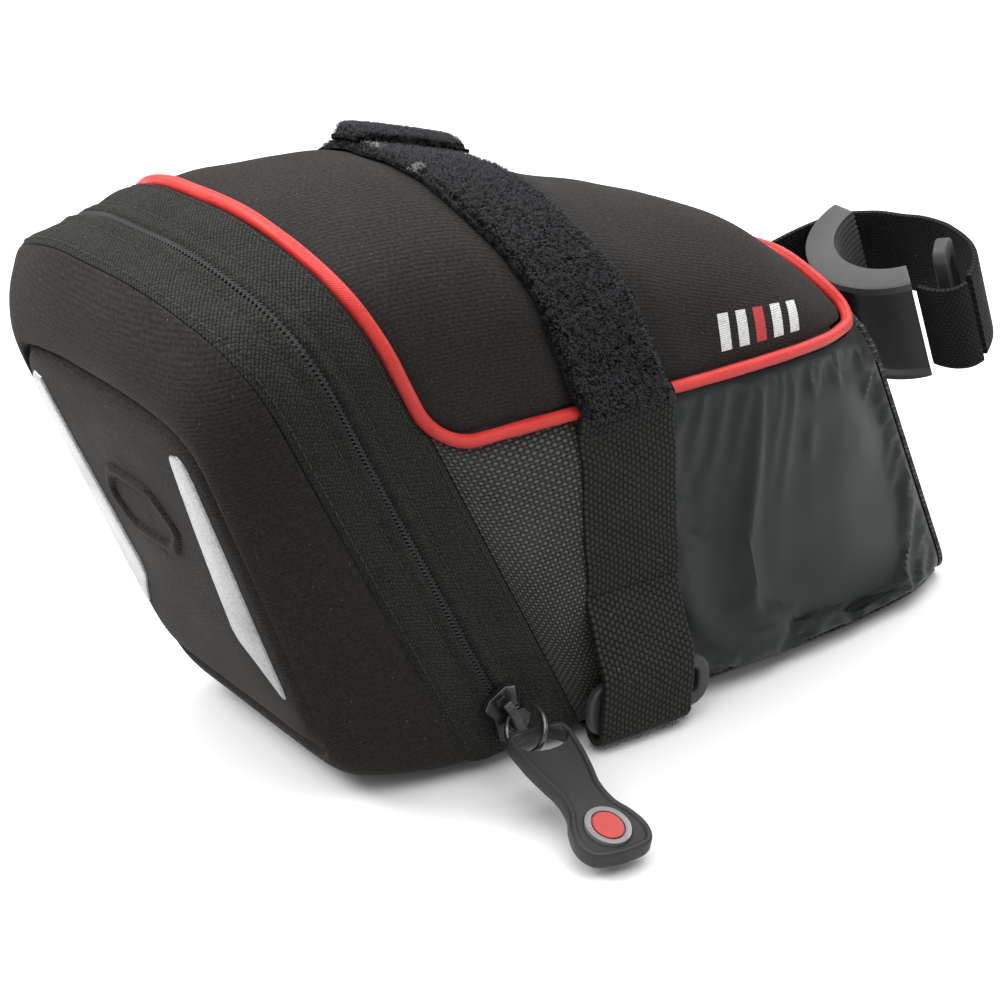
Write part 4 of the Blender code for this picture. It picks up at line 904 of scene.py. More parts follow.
def add_front():
    """Front panel, the roll of cloth between it and the piping, and the patch sewn on it."""
    line = body_outline(FRONT)
    rising = np.maximum.accumulate(line[:, 1]) + np.arange(len(line)) * 1e-7
    crest = eased(CREST_HEIGHT, FRONT)
    low, shoulder = 0.4, PIPING_HEIGHT - PIPING_CLEAR - 0.3
    under = shrink(np.stack([line[:, 0], rising], axis=1), PIPING_CLEAR + 0.3)
    upper = under[under[:, 1] > shoulder][::-1]
    share = np.concatenate([[0, 0.006, 0.016, 0.03, 0.05], spread(0.07, 0.93, 66), [0.95, 0.97, 0.985, 1]])
    share = share[:, None]
    half = np.interp(low + (shoulder - low) * share, rising, line[:, 0]) - 0.4
    x = spread(-1, 1, 91)[None, :]
    top = np.interp(np.abs(x) * np.interp(shoulder, rising, line[:, 0]), upper[:, 0], upper[:, 1])
    z = low + (top - low) * share
    edge = np.minimum(half * (1 - np.abs(x)), np.minimum(z - low, top - z))
    bulge = 1.5 * np.sin(math.pi * z / crest) * (1 - x * x)
    soft = 0.25 * waves(x * half, z, 6, 14, 40, 21) * np.clip(edge / 6, 0, 1)
    y = FRONT + 1.6 + bulge - LEAN * z + soft + edge_fall(edge, 0.6, 1.4)
    outer = np.stack(np.broadcast_arrays(x * half, y, z), axis=-1)
    made = slab_between("front_cloth", outer, outer - [0, 1.25, 0])
    piece(made, "bag", BASKET, "front_panel")

    inside = shrink(line, PIPING_CLEAR + 0.1)
    path = np.concatenate([inside, inside[:-1][::-1] * [-1, 1]])
    path = path[path[:, 1] > shoulder - 12.0]
    path = path[np.argsort(-np.arctan2(path[:, 1] - 40.0, path[:, 0]))]
    roll = np.stack([path[:, 0], FRONT - 0.3 - LEAN * path[:, 1], path[:, 1]], axis=1)
    piece(tube("front_seam_roll", smooth_line(roll, 160), 1.5, sides=12), "bag", BASKET, ())

    patch_low, patch_high, patch_thick = 42, 79, 1.5
    u, v = np.meshgrid(spread(-1, 1, 41), spread(0, 1, 41))
    z = patch_low + (patch_high - patch_low) * v
    half = np.interp(z, [patch_low, 46, 76, patch_high], [24, 25, 22, 19])
    edge = np.minimum(half * (1 - np.abs(u)), np.minimum(z - patch_low, patch_high - z))
    back = FRONT + 3.6 - LEAN * z
    rise = patch_thick * (1 - np.exp(-np.maximum(edge, 0) / 0.7))
    outer = np.stack([u * half, back + rise, z], axis=-1)
    inner = np.stack([u * half, back, z], axis=-1)
    patch = slab_between("anchor_patch", outer, inner - [0, 0.02, 0])
    piece(patch, "bag", LOOP_WEB, "front_anchor_patch")


def bottom_depth(station):
    low, high = STRAP_BOTTOM - RECESS_HALF, STRAP_BOTTOM + RECESS_HALF
    return np.interp(station, [low - 0.9, low, high, high + 0.9], [0, RECESS_DEPTH, RECESS_DEPTH, 0])


def add_bottom():
    """Flat base with the strap's channel in it, bindings in its seams, and the cloth that the lid turns on."""
    station = np.concatenate([spread(TAPE - 3.9, -4.0, 70), spread(-3.0, FRONT - 2.6, 60)])[:, None]
    way = spread(2.003, 3.997, 90)[None, :]
    edge = np.minimum((way - 2.0) * 38, (4.0 - way) * 38)
    depth = bottom_depth(station) + 0 * way
    made = skin_slab("base_cloth", station, way, -depth + edge_fall(edge, 0.25, 1.0), -3.3 + 0 * depth)
    piece(made, "bag", BASKET, "bottom_panel")

    station = spread(ZIP + 2.5, FRONT - 2.6, 130)[:, None]
    for side, name in ((1, "right"), (-1, "left")):
        way = side * spread(1.93, 2.0028, 8)[None, :]
        binding = skin_slab(f"seam_binding_{name}", station, way, -1.4 + 0 * station, -2.5 + 0 * station)
        piece(binding, "bag", LOOP_WEB, ())

    station = spread(SEAM + 2.5, TAPE - 4.3, 44)[:, None]
    way = spread(2.004, 3.996, 60)[None, :]
    fold = -0.9 * np.exp(-(((station - ZIP) / 2.2) ** 2)) + 0 * way
    made = skin_slab("hinge_cloth", station, way, fold - 0.1, fold - 1.3)
    made.data.materials.append(TWILL)
    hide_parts("hinge_fabric")
    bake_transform(made)


def piping_line():
    """Closed line round the top panel, with rounded corners, as (station, way)."""
    quarter = np.radians(spread(0, 90, 19))
    ends = []
    for end, radius, sign in ((TAPE, PIPING_CORNER, 1), (PIPING_FRONT, FRONT_CORNER, -1)):
        station = end + sign * radius * (1 - np.cos(quarter))
        ends.append(np.stack([station, 1.0 - radius * (1 - np.sin(quarter)) / half_arc(station)], axis=1))
    rear, front = ends
    flip = np.array([1, -1])

    def run(a, b, count):
        return np.stack([spread(a[0], b[0], count), spread(a[1], b[1], count)], axis=1)[1:-1]

    return np.concatenate(
        [
            run(rear[0] * flip, rear[0], 160),
            rear,
            run(rear[-1], front[-1], 120),
            front[::-1],
            run(front[0], front[0] * flip, 70),
            front * flip,
            run(front[-1] * flip, rear[-1] * flip, 120),
            rear[::-1] * flip,
        ]
    )


def add_piping():
    line = piping_line()
    path = at(line[:, 0], line[:, 1], -PIPING_DEPTH)
    length = lengths_of(path)
    radius = CORD_RADIUS + 0.04 * np.sin(length / 9.0) + 0.03 * np.sin(length / 2.3)
    made = tube("piping_cord", path, radius, closed=True, sides=18)
    piece(made, "bag", CORAL, "piping")


# ---------------------------------------------------------------- zip


def tape_front(way):
    """The body tape's front edge runs beside the piping, and forwards of it below its corner."""
    above = (1.0 - np.abs(way)) * half_arc(TAPE)
    outside = (PIPING_CORNER + PIPING_CLEAR) ** 2 - (PIPING_CORNER - above) ** 2
    round_it = np.minimum(TAPE, TAPE + PIPING_CORNER - np.sqrt(np.maximum(outside, 0.0)))
    return np.where(above >= PIPING_CORNER, TAPE - PIPING_CLEAR, np.where(above <= 0, TAPE, round_it))


def tape_lift(from_zip, from_seam, station, way):
    """The tape rolls over at the zip, is flat where it is stitched, and dives into the seam."""
    roll = -0.75 * np.exp(-from_zip / 0.55) + 0.35 * np.exp(-(((from_zip - 1.6) / 1.1) ** 2))
    stitched = -0.22 * np.exp(-(((from_zip - 4.2) / 0.5) ** 2))
    bulge = 0.35 * np.sin(math.pi * np.clip(from_seam / 9.0, 0, 1))
    ripple = 0.14 * waves(way * 80, station, 6, 5, 22, 31) * np.clip(from_seam / 3, 0, 1)
    return roll + stitched + bulge + edge_fall(from_seam, 0.5, 0.9) + ripple


def add_tapes():
    way = spread(-1.993, 1.993, 420)[None, :]
    share = np.concatenate([[0, 0.02, 0.045, 0.08], spread(0.12, 0.93, 22), [0.96, 0.98, 1.0]])[:, None]
    gap = COIL_HALF - 0.9
    front = tape_front(way)
    station = ZIP + gap + (front - ZIP - gap) * share
    lift = tape_lift(station - ZIP - gap, front - station, station, way)
    made = skin_slab("body_tape", station, way, lift, lift - 0.95)
    piece(made, "bag", TWILL, "zip_tape_body")

    station = SEAM + 0.15 + (ZIP - gap - SEAM - 0.15) * share + 0 * way
    lift = tape_lift(ZIP - gap - station, station - SEAM - 0.15, station, way)
    made = skin_slab("lid_tape", station, way, lift, lift - 0.95)
    piece(made, "lid", TWILL, "zip_tape_lid")


def add_coils():
    """Interlocking teeth of the nylon coil, half on each side of the parting line."""
    way = spread(-1.95, 1.95, 1500)
    line = np.stack([np.full_like(way, ZIP), way], axis=1)
    points = at(line[:, 0], line[:, 1], 0.0)
    length = lengths_of(points)
    for sign, body, node, offset in ((1, "bag", "zip_coil_body", 0.0), (-1, "lid", "zip_coil_lid", 0.5)):
        turns = (np.arange(int(length[-1] / 1.1)) + 0.5 + offset) * 1.1
        turns = turns[turns < length[-1]]
        middle = np.interp(turns, length, way)
        a = spread(-0.25, 1.2, 6)
        reach = sign * (0.15 + 1.35 * (1 - np.cos(np.pi * (1 - a))) / 2)
        station = ZIP + reach[None, :] * -1 + sign * 1.35
        lift = -0.15 - 0.55 * np.sin(np.pi * (a - 0.2) * 0.6)[None, :] ** 2 - 0.15
        paths = at(np.broadcast_to(station, (len(middle), 6)), middle[:, None], lift)
        made = many_tubes(f"coil_teeth_{body}", paths, 0.34, sides=6)
        piece(made, body, COIL, node)
        station = ZIP + sign * np.array([0.12, 0.8, 1.6])[:, None]
        bed = skin_slab(f"coil_bed_{body}", station, spread(-1.95, 1.95, 300)[None, :], -0.75, -1.5)
        piece(bed, body, TWILL, ())


def add_seam_stitches():
    """Lockstitch rows along both edges of the two tapes."""
    way = spread(-1.96, 1.96, 900)
    body_rows = [np.stack([np.full_like(way, ZIP + 4.8), way], axis=1)]
    body_rows.append(np.stack([tape_front(way) - 1.5, way], axis=1))
    lid_rows = [np.stack([np.full_like(way, ZIP - 4.8), way], axis=1)]
    lid_rows.append(np.stack([np.full_like(way, SEAM + 1.6), way], axis=1))

    def over_tape(s, w, lift):
        front = np.where(s > ZIP, tape_front(w), SEAM + 0.15)
        level = tape_lift(np.abs(s - ZIP) - 0.6, np.abs(front - s), s, w)
        return at(s, w, lift + level + 0.02)

    for body, rows in (("bag", body_rows), ("lid", lid_rows)):
        threads = np.concatenate([stitch_paths(over_tape, row) for row in rows])
        made = many_tubes(f"tape_stitches_{body}", threads, 0.17)
        piece(made, body, THREAD, ())


# ---------------------------------------------------------------- shell


SHELL_RINGS = np.array(
    [
        (0.0, SEAM, LEAN, 0.0, 0.0),
        (0.13, -73.5, 0.492, 0.0, 1.3),
        (0.37, -82.0, 0.456, 0.0, 4.0),
        (0.67, -89.3, 0.422, 0.0, 7.2),
        (0.90, -92.6, 0.396, 0.0, 6.2),
        (1.0, PLATE_BACK + PLATE_STEP, PLATE_LEAN, -1.5, 1.0),
        (1.0, PLATE_BACK + 0.7, PLATE_LEAN, 0.6, 0.0),
        (1.0, PLATE_BACK, PLATE_LEAN, 3.0, 0.0),
    ]
)
RING_SHARES = (
    0, 0.12, 0.2, 0.235, 0.27, 0.3, 0.33, 0.37, 0.42, 0.48, 0.54, 0.6,
    0.65, 0.69, 0.72, 0.75, 0.78, 0.81, 0.85, 0.9, 0.95, 1.0,
)  # fmt: skip


def resampled(line, shares):
    length = lengths_of(line)
    return np.stack([np.interp(shares * length[-1], length, line[:, k]) for k in (0, 1)], axis=1)


def shrink(line, amount):
    """Outline moved inwards by an amount."""
    d = np.gradient(line, axis=0)
    normal = np.stack([d[:, 1], -d[:, 0]], axis=1)
    normal /= np.maximum(np.linalg.norm(normal, axis=1), 1e-9)[:, None]
    moved = line - normal * amount
    moved[[0, -1], 0] = 0.0
    return moved


def blended_rings(rings, steps):
    """Rings between the given ones, along a smooth curve."""
    fine = []
    for i in range(len(rings) - 1):
        a, b = rings[i], rings[i + 1]
        before = rings[i - 1] if i else 2 * a - b
        after = rings[min(i + 2, len(rings) - 1)]
        for t in np.arange(steps) / steps:
            slope_a, slope_b = (b - before) / 2, (after - a) / 2
            fine.append(
                (2 * t**3 - 3 * t**2 + 1) * a
                + (t**3 - 2 * t**2 + t) * slope_a
                + (3 * t**2 - 2 * t**3) * b
                + (t**3 - t**2) * slope_b
            )
    fine.append(rings[-1])
    fine = np.array(fine)
    fine[:, 0] = np.clip(fine[:, 0], 0, 1)
    return fine


def shell_grid(inset_by, stepped):
    """Rows of points from the seam to the middle of the rear face; rows close round the bag."""
    shares = np.interp(spread(0, len(RING_SHARES) - 1, 127), range(len(RING_SHARES)), RING_SHARES)
    rings = blended_rings(SHELL_RINGS if stepped else SHELL_RINGS[:5], 7)
    seam_half = resampled(body_outline(SEAM), shares)
    rows = []
    for share, y0, lean, inset, drop in rings:
        half = seam_half * (1 - share) + resampled(plate_outline(inset), shares) * share
        half[:, 1] -= drop * np.clip(1 - half[:, 1] / 45.0, 0, 1)
        if inset_by:
            half = shrink(half, inset_by)
        forward = inset_by if share > 0 else 0.0
        rows.append((half, y0 + forward, lean))
    last_y0, last_lean = rings[-1][1] + inset_by, rings[-1][2]
    outline = resampled(plate_outline(3.0 if stepped else 0.5), shares)
    if inset_by:
        outline = shrink(outline, inset_by)
    middle = 0.5 * (PLATE_BOTTOM + PLATE_TOP)
    for scale in (0.95, 0.88, 0.8, 0.7, 0.58, 0.45, 0.32, 0.2, 0.1, 0.001):
        rows.append(((outline - [0, middle]) * scale + [0, middle], last_y0 - (1.0 - scale**2), last_lean))
    grid = []
    for half, y0, lean in rows:
        ring = np.concatenate([half, (half * [-1, 1])[::-1][1:-1]])
        grid.append(np.stack([ring[:, 0], y0 - lean * ring[:, 1], ring[:, 1]], axis=1))
    return np.array(grid)


def shell_piece(name, grid, thick, body, finish, replaced):
    """Bowl with a rolled rim; its rows run from the rim to the tip."""
    to_middle = grid.mean(axis=(0, 1)) + [0, 45, 0] - grid
    to_middle[..., 1] *= np.clip(np.arange(len(grid)) / 12.0, 0, 1)[:, None]
    normal = to_middle / np.maximum(np.linalg.norm(to_middle, axis=2), 1e-9)[..., None]
    made = slab_between(name, grid, grid + normal * thick, closed=True)
    return piece(made, body, finish, replaced)


def shell_uv(obj):
    """Horizontal ribs: distance round the bag and up it, in metres."""
    layer = obj.data.uv_layers["UVMap"]
    for loop in obj.data.loops:
        x, y, z = obj.data.vertices[loop.vertex_index].co
        layer.data[loop.index].uv = (x * 1.0 + y * 0.6, z - 0.42 * y)


def relaxed(grid, rounds):
    """Evens out a closed grid, leaving its first and last rows."""
    for _ in range(rounds):
        beside = 0.5 * (np.roll(grid, 1, axis=1) + np.roll(grid, -1, axis=1))
        along = 0.5 * (grid[:-2] + grid[2:])
        grid = grid.copy()
        grid[1:-1] = 0.5 * grid[1:-1] + 0.3 * beside[1:-1] + 0.2 * along
    return grid


def add_shell():
    outer = relaxed(shell_grid(0.0, True), 5)
    rim = np.exp(-np.arange(len(outer)) / 1.3)[:, None, None]
    centre = outer.mean(axis=1, keepdims=True)
    outward = (outer - centre) * [1, 0, 1]
    outward /= np.maximum(np.linalg.norm(outward, axis=2), 1e-6)[..., None]
    around = np.arange(outer.shape[1]) / outer.shape[1] * 2 * math.pi
    down = np.arange(len(outer))[:, None] / 6.0
    soft = 0.10 * waves(np.cos(around) * 60, down * 9 + np.sin(around) * 60, 6, 15, 50, 9)
    outer = outer - outward * (0.7 * rim - soft[..., None])
    made = shell_piece("moulded_shell", outer, 2.6, "lid", KNIT_SHELL, "rear_shell")
    shell_uv(made)
    lining = shell_grid(SHELL_THICK + 0.5, False)
    inside = shell_piece("lid_cloth", lining, 0.5, "lid", LINING, "lid_lining")
    shell_uv(inside)
    return made


def on_face(shell):
    """Function that sets (x, z) points of the rear view onto the shell, this high over it."""
    tree = BVHTree.FromObject(shell, bpy.context.evaluated_depsgraph_get())
    outward = np.array([0.0, -1.0, -PLATE_LEAN]) / math.hypot(1.0, PLATE_LEAN)

    def place(x, z, lift):
        x, z, lift = np.broadcast_arrays(x, z, lift)
        points = np.empty(x.shape + (3,))
        for k in np.ndindex(x.shape):
            start = Vector((x[k] * MM, -0.3, z[k] * MM))
            hit = tree.ray_cast(start, Vector((0, 1, 0)))[0]
            points[k] = np.array(hit or start) / MM + outward * lift[k]
        return points

    return place


def onto(surface, grid, lift):
    """Points moved to the nearest place on a piece, and this high over it."""
    tree = BVHTree.FromObject(surface, bpy.context.evaluated_depsgraph_get())
    flat = grid.reshape(-1, 3)
    moved = np.empty_like(flat)
    for k, point in enumerate(flat):
        near, normal, _, _ = tree.find_nearest(Vector(point * MM))
        moved[k] = np.array(near) / MM + np.array(normal) * lift
    return moved.reshape(grid.shape)


def polygon_ring(corners, inset, radius, count):
    """Closed outline moved inwards, with rounded corners, as even points."""
    corners = np.array(corners, float)
    centre = corners.mean(axis=0)
    shrunk = centre + (corners - centre) * (1 - inset / np.abs(corners - centre).max(axis=0))
    line = []
    for k in range(len(shrunk)):
        before, here, after = shrunk[k - 1], shrunk[k], shrunk[(k + 1) % len(shrunk)]
        a = here + (before - here) / np.linalg.norm(before - here) * radius
        b = here + (after - here) / np.linalg.norm(after - here) * radius
        for t in spread(0, 1, 7):
            line.append((1 - t) ** 2 * a + 2 * t * (1 - t) * here + t * t * b)
    line.append(line[0])
    return resampled(np.array(line), spread(0, 1, count + 1)[:-1])


REFLECTOR = [
    (28.5, 82.5), (31.5, 83.2), (33.4, 81.8), (34.0, 78.0), (33.0, 60.0), (31.6, 42.0), (30.6, 28.0),
    (29.8, 25.2), (28.8, 26.5), (25.0, 31.5), (20.8, 36.3), (20.2, 39.5), (22.5, 53.0),
]  # fmt: skip


def raised(name, loops, lifts, place, side=1):
    """Raised shape on the rear face from loops of (x, z), outermost first; the last is filled."""
    grid = np.array([place(side * loop[:, 0], loop[:, 1], lift) for loop, lift in zip(loops, lifts)])
    rows, columns = grid.shape[:2]
    quads = [tuple(q) for q in grid_faces(rows, columns, True)]
    top = tuple((rows - 1) * columns + k for k in range(columns))
    points = grid.reshape(-1, 3)
    made = linked(name, points, quads + [top], points[:, [0, 2]] * MM)
    return facing_out(made)


def add_face_details(shell):
    """Reflective blades set in the rear face, and a plain pressed hexagon between them."""
    place = on_face(shell)
    for side, name in ((1, "right"), (-1, "left")):
        outline = np.array(REFLECTOR + [REFLECTOR[0]], float)
        outline = resampled(outline, spread(0, 1, 121)[:-1])
        centre = outline.mean(axis=0)
        loops = [centre + (outline - centre) * k for k in (1.0, 0.992, 0.975, 0.95)]
        made = raised(f"blade_{name}", loops, (-0.2, 0.35, 0.5, 0.55), place, side)
        piece(made, "lid", FILM, f"reflector_{name}")
    hexagon = [(-16, 60.5), (-9.5, 69), (9.5, 69), (16, 60.5), (9.5, 52), (-9.5, 52)]
    profile = ((0.0, -0.5), (0.4, 0.45), (0.9, 0.85), (1.5, 0.95), (2.3, 0.85), (2.8, 0.45), (3.2, -0.5))
    rings = [polygon_ring(hexagon, inset, 2.6, 120) for inset, _ in profile]
    middle, tilt = 0.5 * (PLATE_BOTTOM + PLATE_TOP), math.hypot(1.0, PLATE_LEAN)

    def pressed(ring, lift):
        x, z = ring.T
        out = 1.0 - (x / PLATE_HALF_SIDE) ** 2 - ((z - middle) / (PLATE_TOP - middle)) ** 2 + lift
        return np.stack([x, PLATE_BACK - PLATE_LEAN * z - out * tilt, z], axis=1)

    grid = np.array([pressed(ring, lift) for ring, (_, lift) in zip(rings, profile)])
    points = grid.reshape(-1, 3)
    made = linked("pressed_hexagon", points, grid_faces(len(rings), 120, True), points[:, [0, 2]] * MM)
    piece(made, "lid", KNIT_SHELL, ())


# ---------------------------------------------------------------- rail strap


def strap_base(way):
    return 0.45 + clear_of_piping(way)


def strap_surface(way, across, lift):
    return at(strap_station(way) + across, way, lift)


def band(name, ways, low, high, finish, body, replaced, seed):
    """Length of webbing lying on the bag, with soft edges."""
    across = np.concatenate([[-1, -0.985, -0.95], spread(-0.9, 0.9, 19), [0.95, 0.985, 1]])[None, :]
    way = np.asarray(ways)[:, None]
    edge = STRAP_HALF * (1 - np.abs(across))
    wander = 0.25 * waves(way * 80, 0 * way, 5, 9, 30, seed)
    roll = -0.35 * np.exp(-edge / 0.35)
    soft = 0.12 * waves(way * 80, across * STRAP_HALF, 9, 3, 20, seed + 1)
    top = strap_surface(way, across * STRAP_HALF + wander, high(way) + roll + soft)
    bottom = strap_surface(way, across * STRAP_HALF + wander, low(way) + 0 * roll)
    return piece(slab_between(name, top, bottom), body, finish, replaced)


def pile_half(ways, round_end):
    """Half width of a length of pile; the flap's corners are rounded off."""
    if not round_end:
        return STRAP_HALF + 0 * ways
    share = (ways - ways.min()) / (ways.max() - ways.min())
    left = np.clip(share / 0.5, 0, 1)
    right = np.clip((1 - share) / 0.10, 0, 1)
    left_round = 0.35 + 0.65 * np.sqrt(1 - (1 - left) ** 2)
    right_round = 0.7 + 0.3 * np.sqrt(1 - (1 - right) ** 2)
    return STRAP_HALF * left_round * right_round


def pile_lift(edge, low, thick):
    """Height of the pile's tips: a thin woven selvedge, then a rounded shoulder of loops."""
    t = np.clip((edge - 1.1) / 1.7, 0, 1)
    return low + SELVEDGE + (thick - SELVEDGE) * np.sqrt(1 - (1 - t) ** 2)


def pile_piece(name, ways, low, thick, body, replaced, seed, round_end=False):
    """Length of pile lying on the bag, its surface broken into small clumps."""
    way = np.asarray(ways)[:, None]
    half = pile_half(way, round_end)
    across = np.concatenate([[-1, -0.99], spread(-0.97, 0.97, 75), [0.99, 1]])[None, :]
    edge = half * (1 - np.abs(across))
    wander = 0.25 * waves(way * 80, 0 * way, 5, 9, 30, seed)
    clumps = waves(way * 80, across * half, 24, 1.3, 3.2, seed + 1)
    clumps = clumps + 0.8 * waves(way * 80, across * half, 8, 4, 12, seed + 2)
    top = pile_lift(edge, low(way), thick(way)) + 0.20 * clumps * np.clip((edge - 1.2) / 1.2, 0, 1)
    top = np.maximum(top, low(way) + 0.25)
    upper = strap_surface(way, across * half + wander, top)
    lower = strap_surface(way, across * half + wander, low(way) + 0 * top)
    return piece(slab_between(name, upper, lower), body, PILE, replaced)


def fibres(name, ways, low, thick, count, body, seed, round_end=False, finish=None, spot=None):
    """Loose loops of the pile standing off the band, or a spot of lint on it."""
    rng = np.random.default_rng(seed)
    way = rng.uniform(min(ways), max(ways), count)
    half = np.interp(way, ways, pile_half(np.asarray(ways), round_end))
    side = rng.uniform(-1, 1, count)
    if spot:
        way = rng.normal(spot[0], spot[2], count)
        side = rng.normal(spot[1], 0.05, count)
    across = (half - 0.9) * side
    lift = pile_lift(half - np.abs(across), low(way), thick(way))
    steps = []
    turn = rng.uniform(0, 2 * math.pi, count)
    reach = rng.uniform(0.25, 1.0, count)
    tall = rng.uniform(0.25, 0.95, count)
    for t in spread(0, 1, 5):
        bend = turn + 1.8 * t
        d_way = np.cos(bend) * reach * t / 80.0
        d_across = np.sin(bend) * reach * t
        rise = lift - 0.15 + tall * np.sin(math.pi * min(t, 0.8))
        steps.append(strap_surface(way + d_way, across + d_across, rise))
    made = many_tubes(name, np.stack(steps, axis=1), 0.055, sides=3)
    return piece(made, body, finish or FIBRE, ())


def add_rail_strap():
    over = np.concatenate([spread(FLAP_FOLD, 0.72, 110), spread(0.725, 1.015, 60)])

    def pile_thick(way):
        return PILE_THICK + 0 * way

    pile_piece("pile_band", over, strap_base, pile_thick, "bag", "strap_pile_band", 41)
    fibres("pile_fibres", over, strap_base, pile_thick, 13000, "bag", 42)

    def flap_low(way):
        return 0.45 + PILE_THICK + 0.35 + 0 * way

    def flap_thick(way):
        share = np.clip((way - PUFF_START) / (FLAP_END - PUFF_START), 0, 1)
        return PILE_THICK - 0.5 + 1.6 * np.sin(math.pi * share) ** 0.6

    fold = spread(PUFF_START, FLAP_END, 70)
    pile_piece("pile_flap", fold, flap_low, flap_thick, "flap", "strap_flap", 43, True)
    fibres("flap_fibres", fold, flap_low, flap_thick, 5200, "flap", 44, True)
    for number, spot in enumerate(((-0.02, -0.84, 0.013), (0.20, -0.93, 0.005))):
        fibres(f"lint_{number}", over, strap_base, pile_thick, 60, "bag", 46 + number, finish=LINT, spot=spot)

    def hook_top(way):
        return strap_base(way) + WEBBING_THICK

    left = (spread(-1.83, -1.15, 60), spread(-1.145, -0.8, 50), spread(-0.795, FLAP_FOLD - 0.02, 50))
    left = np.concatenate(left)
    band("hook_band", left, strap_base, hook_top, WEBBING, "bag", "strap_hook_band", 45)

    def under_low(way):
        beside = np.minimum(way - 2.0, 4.0 - way)
        return np.interp(beside, [-0.01, 0.11], [0.4, 0.28 - RECESS_DEPTH])

    def under_top(way):
        return under_low(way) + WEBBING_THICK - 0.1

    under = np.concatenate([spread(1.90, 2.0, 24), spread(2.003, 3.997, 120), spread(4.0, 4.14, 30)])
    band("base_webbing", under, under_low, under_top, WEBBING, "bag", "strap_bottom_webbing", 47)


def side_webbing_line():
    """Middle line of the right-hand webbing: down the side, round the buckle's lower bar and back up."""
    edge = at(strap_station(1.9), 1.9)
    centre = np.array([edge[0] + BUCKLE_OUT, edge[1], BUCKLE_HEIGHT])
    bar = BUCKLE_HEIGHT - (12.6 + 6.4) / 4
    reach = WEBBING_THICK / 2 + 0.6
    turn_x, turn_z = BUCKLE_THICK / 2 + reach, (12.6 - 6.4) / 4 + reach
    ways = np.concatenate([spread(1.006, 1.16, 14), spread(1.19, 1.58, 14)])
    hang = at(strap_station(ways), ways, 0.45 + clear_of_piping(ways) + WEBBING_THICK / 2)
    y = hang[-1, 1]
    a = -np.pi * spread(0, 1, 25)
    wrap = np.stack([centre[0] + turn_x * np.cos(a), np.full(25, y), bar + turn_z * np.sin(a)], axis=1)
    above = [[centre[0] + turn_x, y, BUCKLE_HEIGHT + 8.0]]
    back = [[centre[0] - turn_x, y, BUCKLE_HEIGHT + 4.0]]
    return smooth_line(np.concatenate([hang, above, wrap, back]), 170)


def add_side_webbing():
    line = side_webbing_line()
    across = np.concatenate([[-1, -0.985, -0.95], spread(-0.9, 0.9, 19), [0.95, 0.985, 1]])[None, :, None]
    direction = np.gradient(line, axis=0)
    normal = np.cross(direction, [0.0, 1.0, 0.0])
    normal /= np.linalg.norm(normal, axis=1)[:, None]
    length = lengths_of(line)[:, None, None]
    wander = 0.22 * waves(length, 0 * length, 5, 7, 26, 51)
    edge = STRAP_HALF * (1 - np.abs(across))
    roll = -0.3 * np.exp(-edge / 0.4) + 0.10 * waves(length, across * STRAP_HALF, 6, 5, 18, 52)
    middle = line[:, None] + (across * STRAP_HALF + wander) * np.array([0.0, 1.0, 0.0])
    half = normal[:, None] * WEBBING_THICK / 2
    outer = middle + half + normal[:, None] * roll
    inner = middle - half
    made = slab_between("side_webbing", outer, inner)
    piece(made, "bag", WEBBING, "strap_side_webbing")

    rng = np.random.default_rng(53)
    count = 120
    low = line[int(np.argmin(line[:, 2]))]
    start_x = rng.uniform(low[0] - 2.5, low[0] + 2.5, count)
    start_y = low[1] + rng.uniform(-12.6, 12.6, count)
    threads = []
    drift = rng.normal(0, 0.5, (count, 2))
    for t in spread(0, 1, 5):
        z = np.maximum(low[2] - 0.2 - 0.8 * t * rng.uniform(0.6, 1.0), 0.12)
        x, y = start_x + drift[:, 0] * t, start_y + drift[:, 1] * t * 2
        threads.append(np.stack([x, y, np.full(count, z)], axis=1))
    frayed = many_tubes("frayed_ends", np.stack(threads, axis=1), 0.06, sides=3)
    piece(frayed, "bag", THREAD, ())

    box = []
    for z in (74.2, 72.0):
        way = 1.0 + (PIPING_HEIGHT - z) / SIDE_ARC
        a = spread(-11.2, 11.2, 40)
        box.append(np.stack([strap_station(way) + a, np.full_like(a, way)], axis=1))

    def over_webbing(s, w, lift):
        return at(s, w, lift + 0.45 + clear_of_piping(w) + WEBBING_THICK + 0.05)

    threads = np.concatenate([stitch_paths(over_webbing, row, 2.1) for row in box])
    piece(many_tubes("strap_bartack", threads, 0.17), "bag", THREAD, ())


# ---------------------------------------------------------------- moulded and metal parts


def refined(name, node, body, finish, bevel, segments=3, angle=28):
    """A CAD part with its edges rounded off as the mould leaves them."""
    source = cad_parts[node].data
    mesh = source.copy()
    made = bmesh.new()
    made.from_mesh(mesh)
    bmesh.ops.remove_doubles(made, verts=made.verts, dist=1e-6)
    bmesh.ops.dissolve_limit(made, angle_limit=math.radians(0.5), verts=made.verts, edges=made.edges)
    made.to_mesh(mesh)
    made.free()
    obj = bpy.data.objects.new(name, mesh)
    bpy.context.scene.collection.objects.link(obj)
    rounding = obj.modifiers.new("rounding", "BEVEL")
    rounding.width = bevel * MM
    rounding.segments = segments
    rounding.limit_method = "ANGLE"
    rounding.angle_limit = math.radians(angle)
    rounding.harden_normals = False
    mesh.shade_smooth()
    mesh.set_sharp_from_angle(angle=math.radians(180))
    smooth = obj.modifiers.new("even", "WEIGHTED_NORMAL")
    smooth.keep_sharp = False
    return piece(obj, body, finish, node)


def turned(yaw, pitch, roll):
    about_z = np.array(Matrix.Rotation(yaw, 3, "Z"))
    about_x = np.array(Matrix.Rotation(pitch, 3, "X"))
    about_y = np.array(Matrix.Rotation(roll, 3, "Y"))
    return about_x @ about_y @ about_z


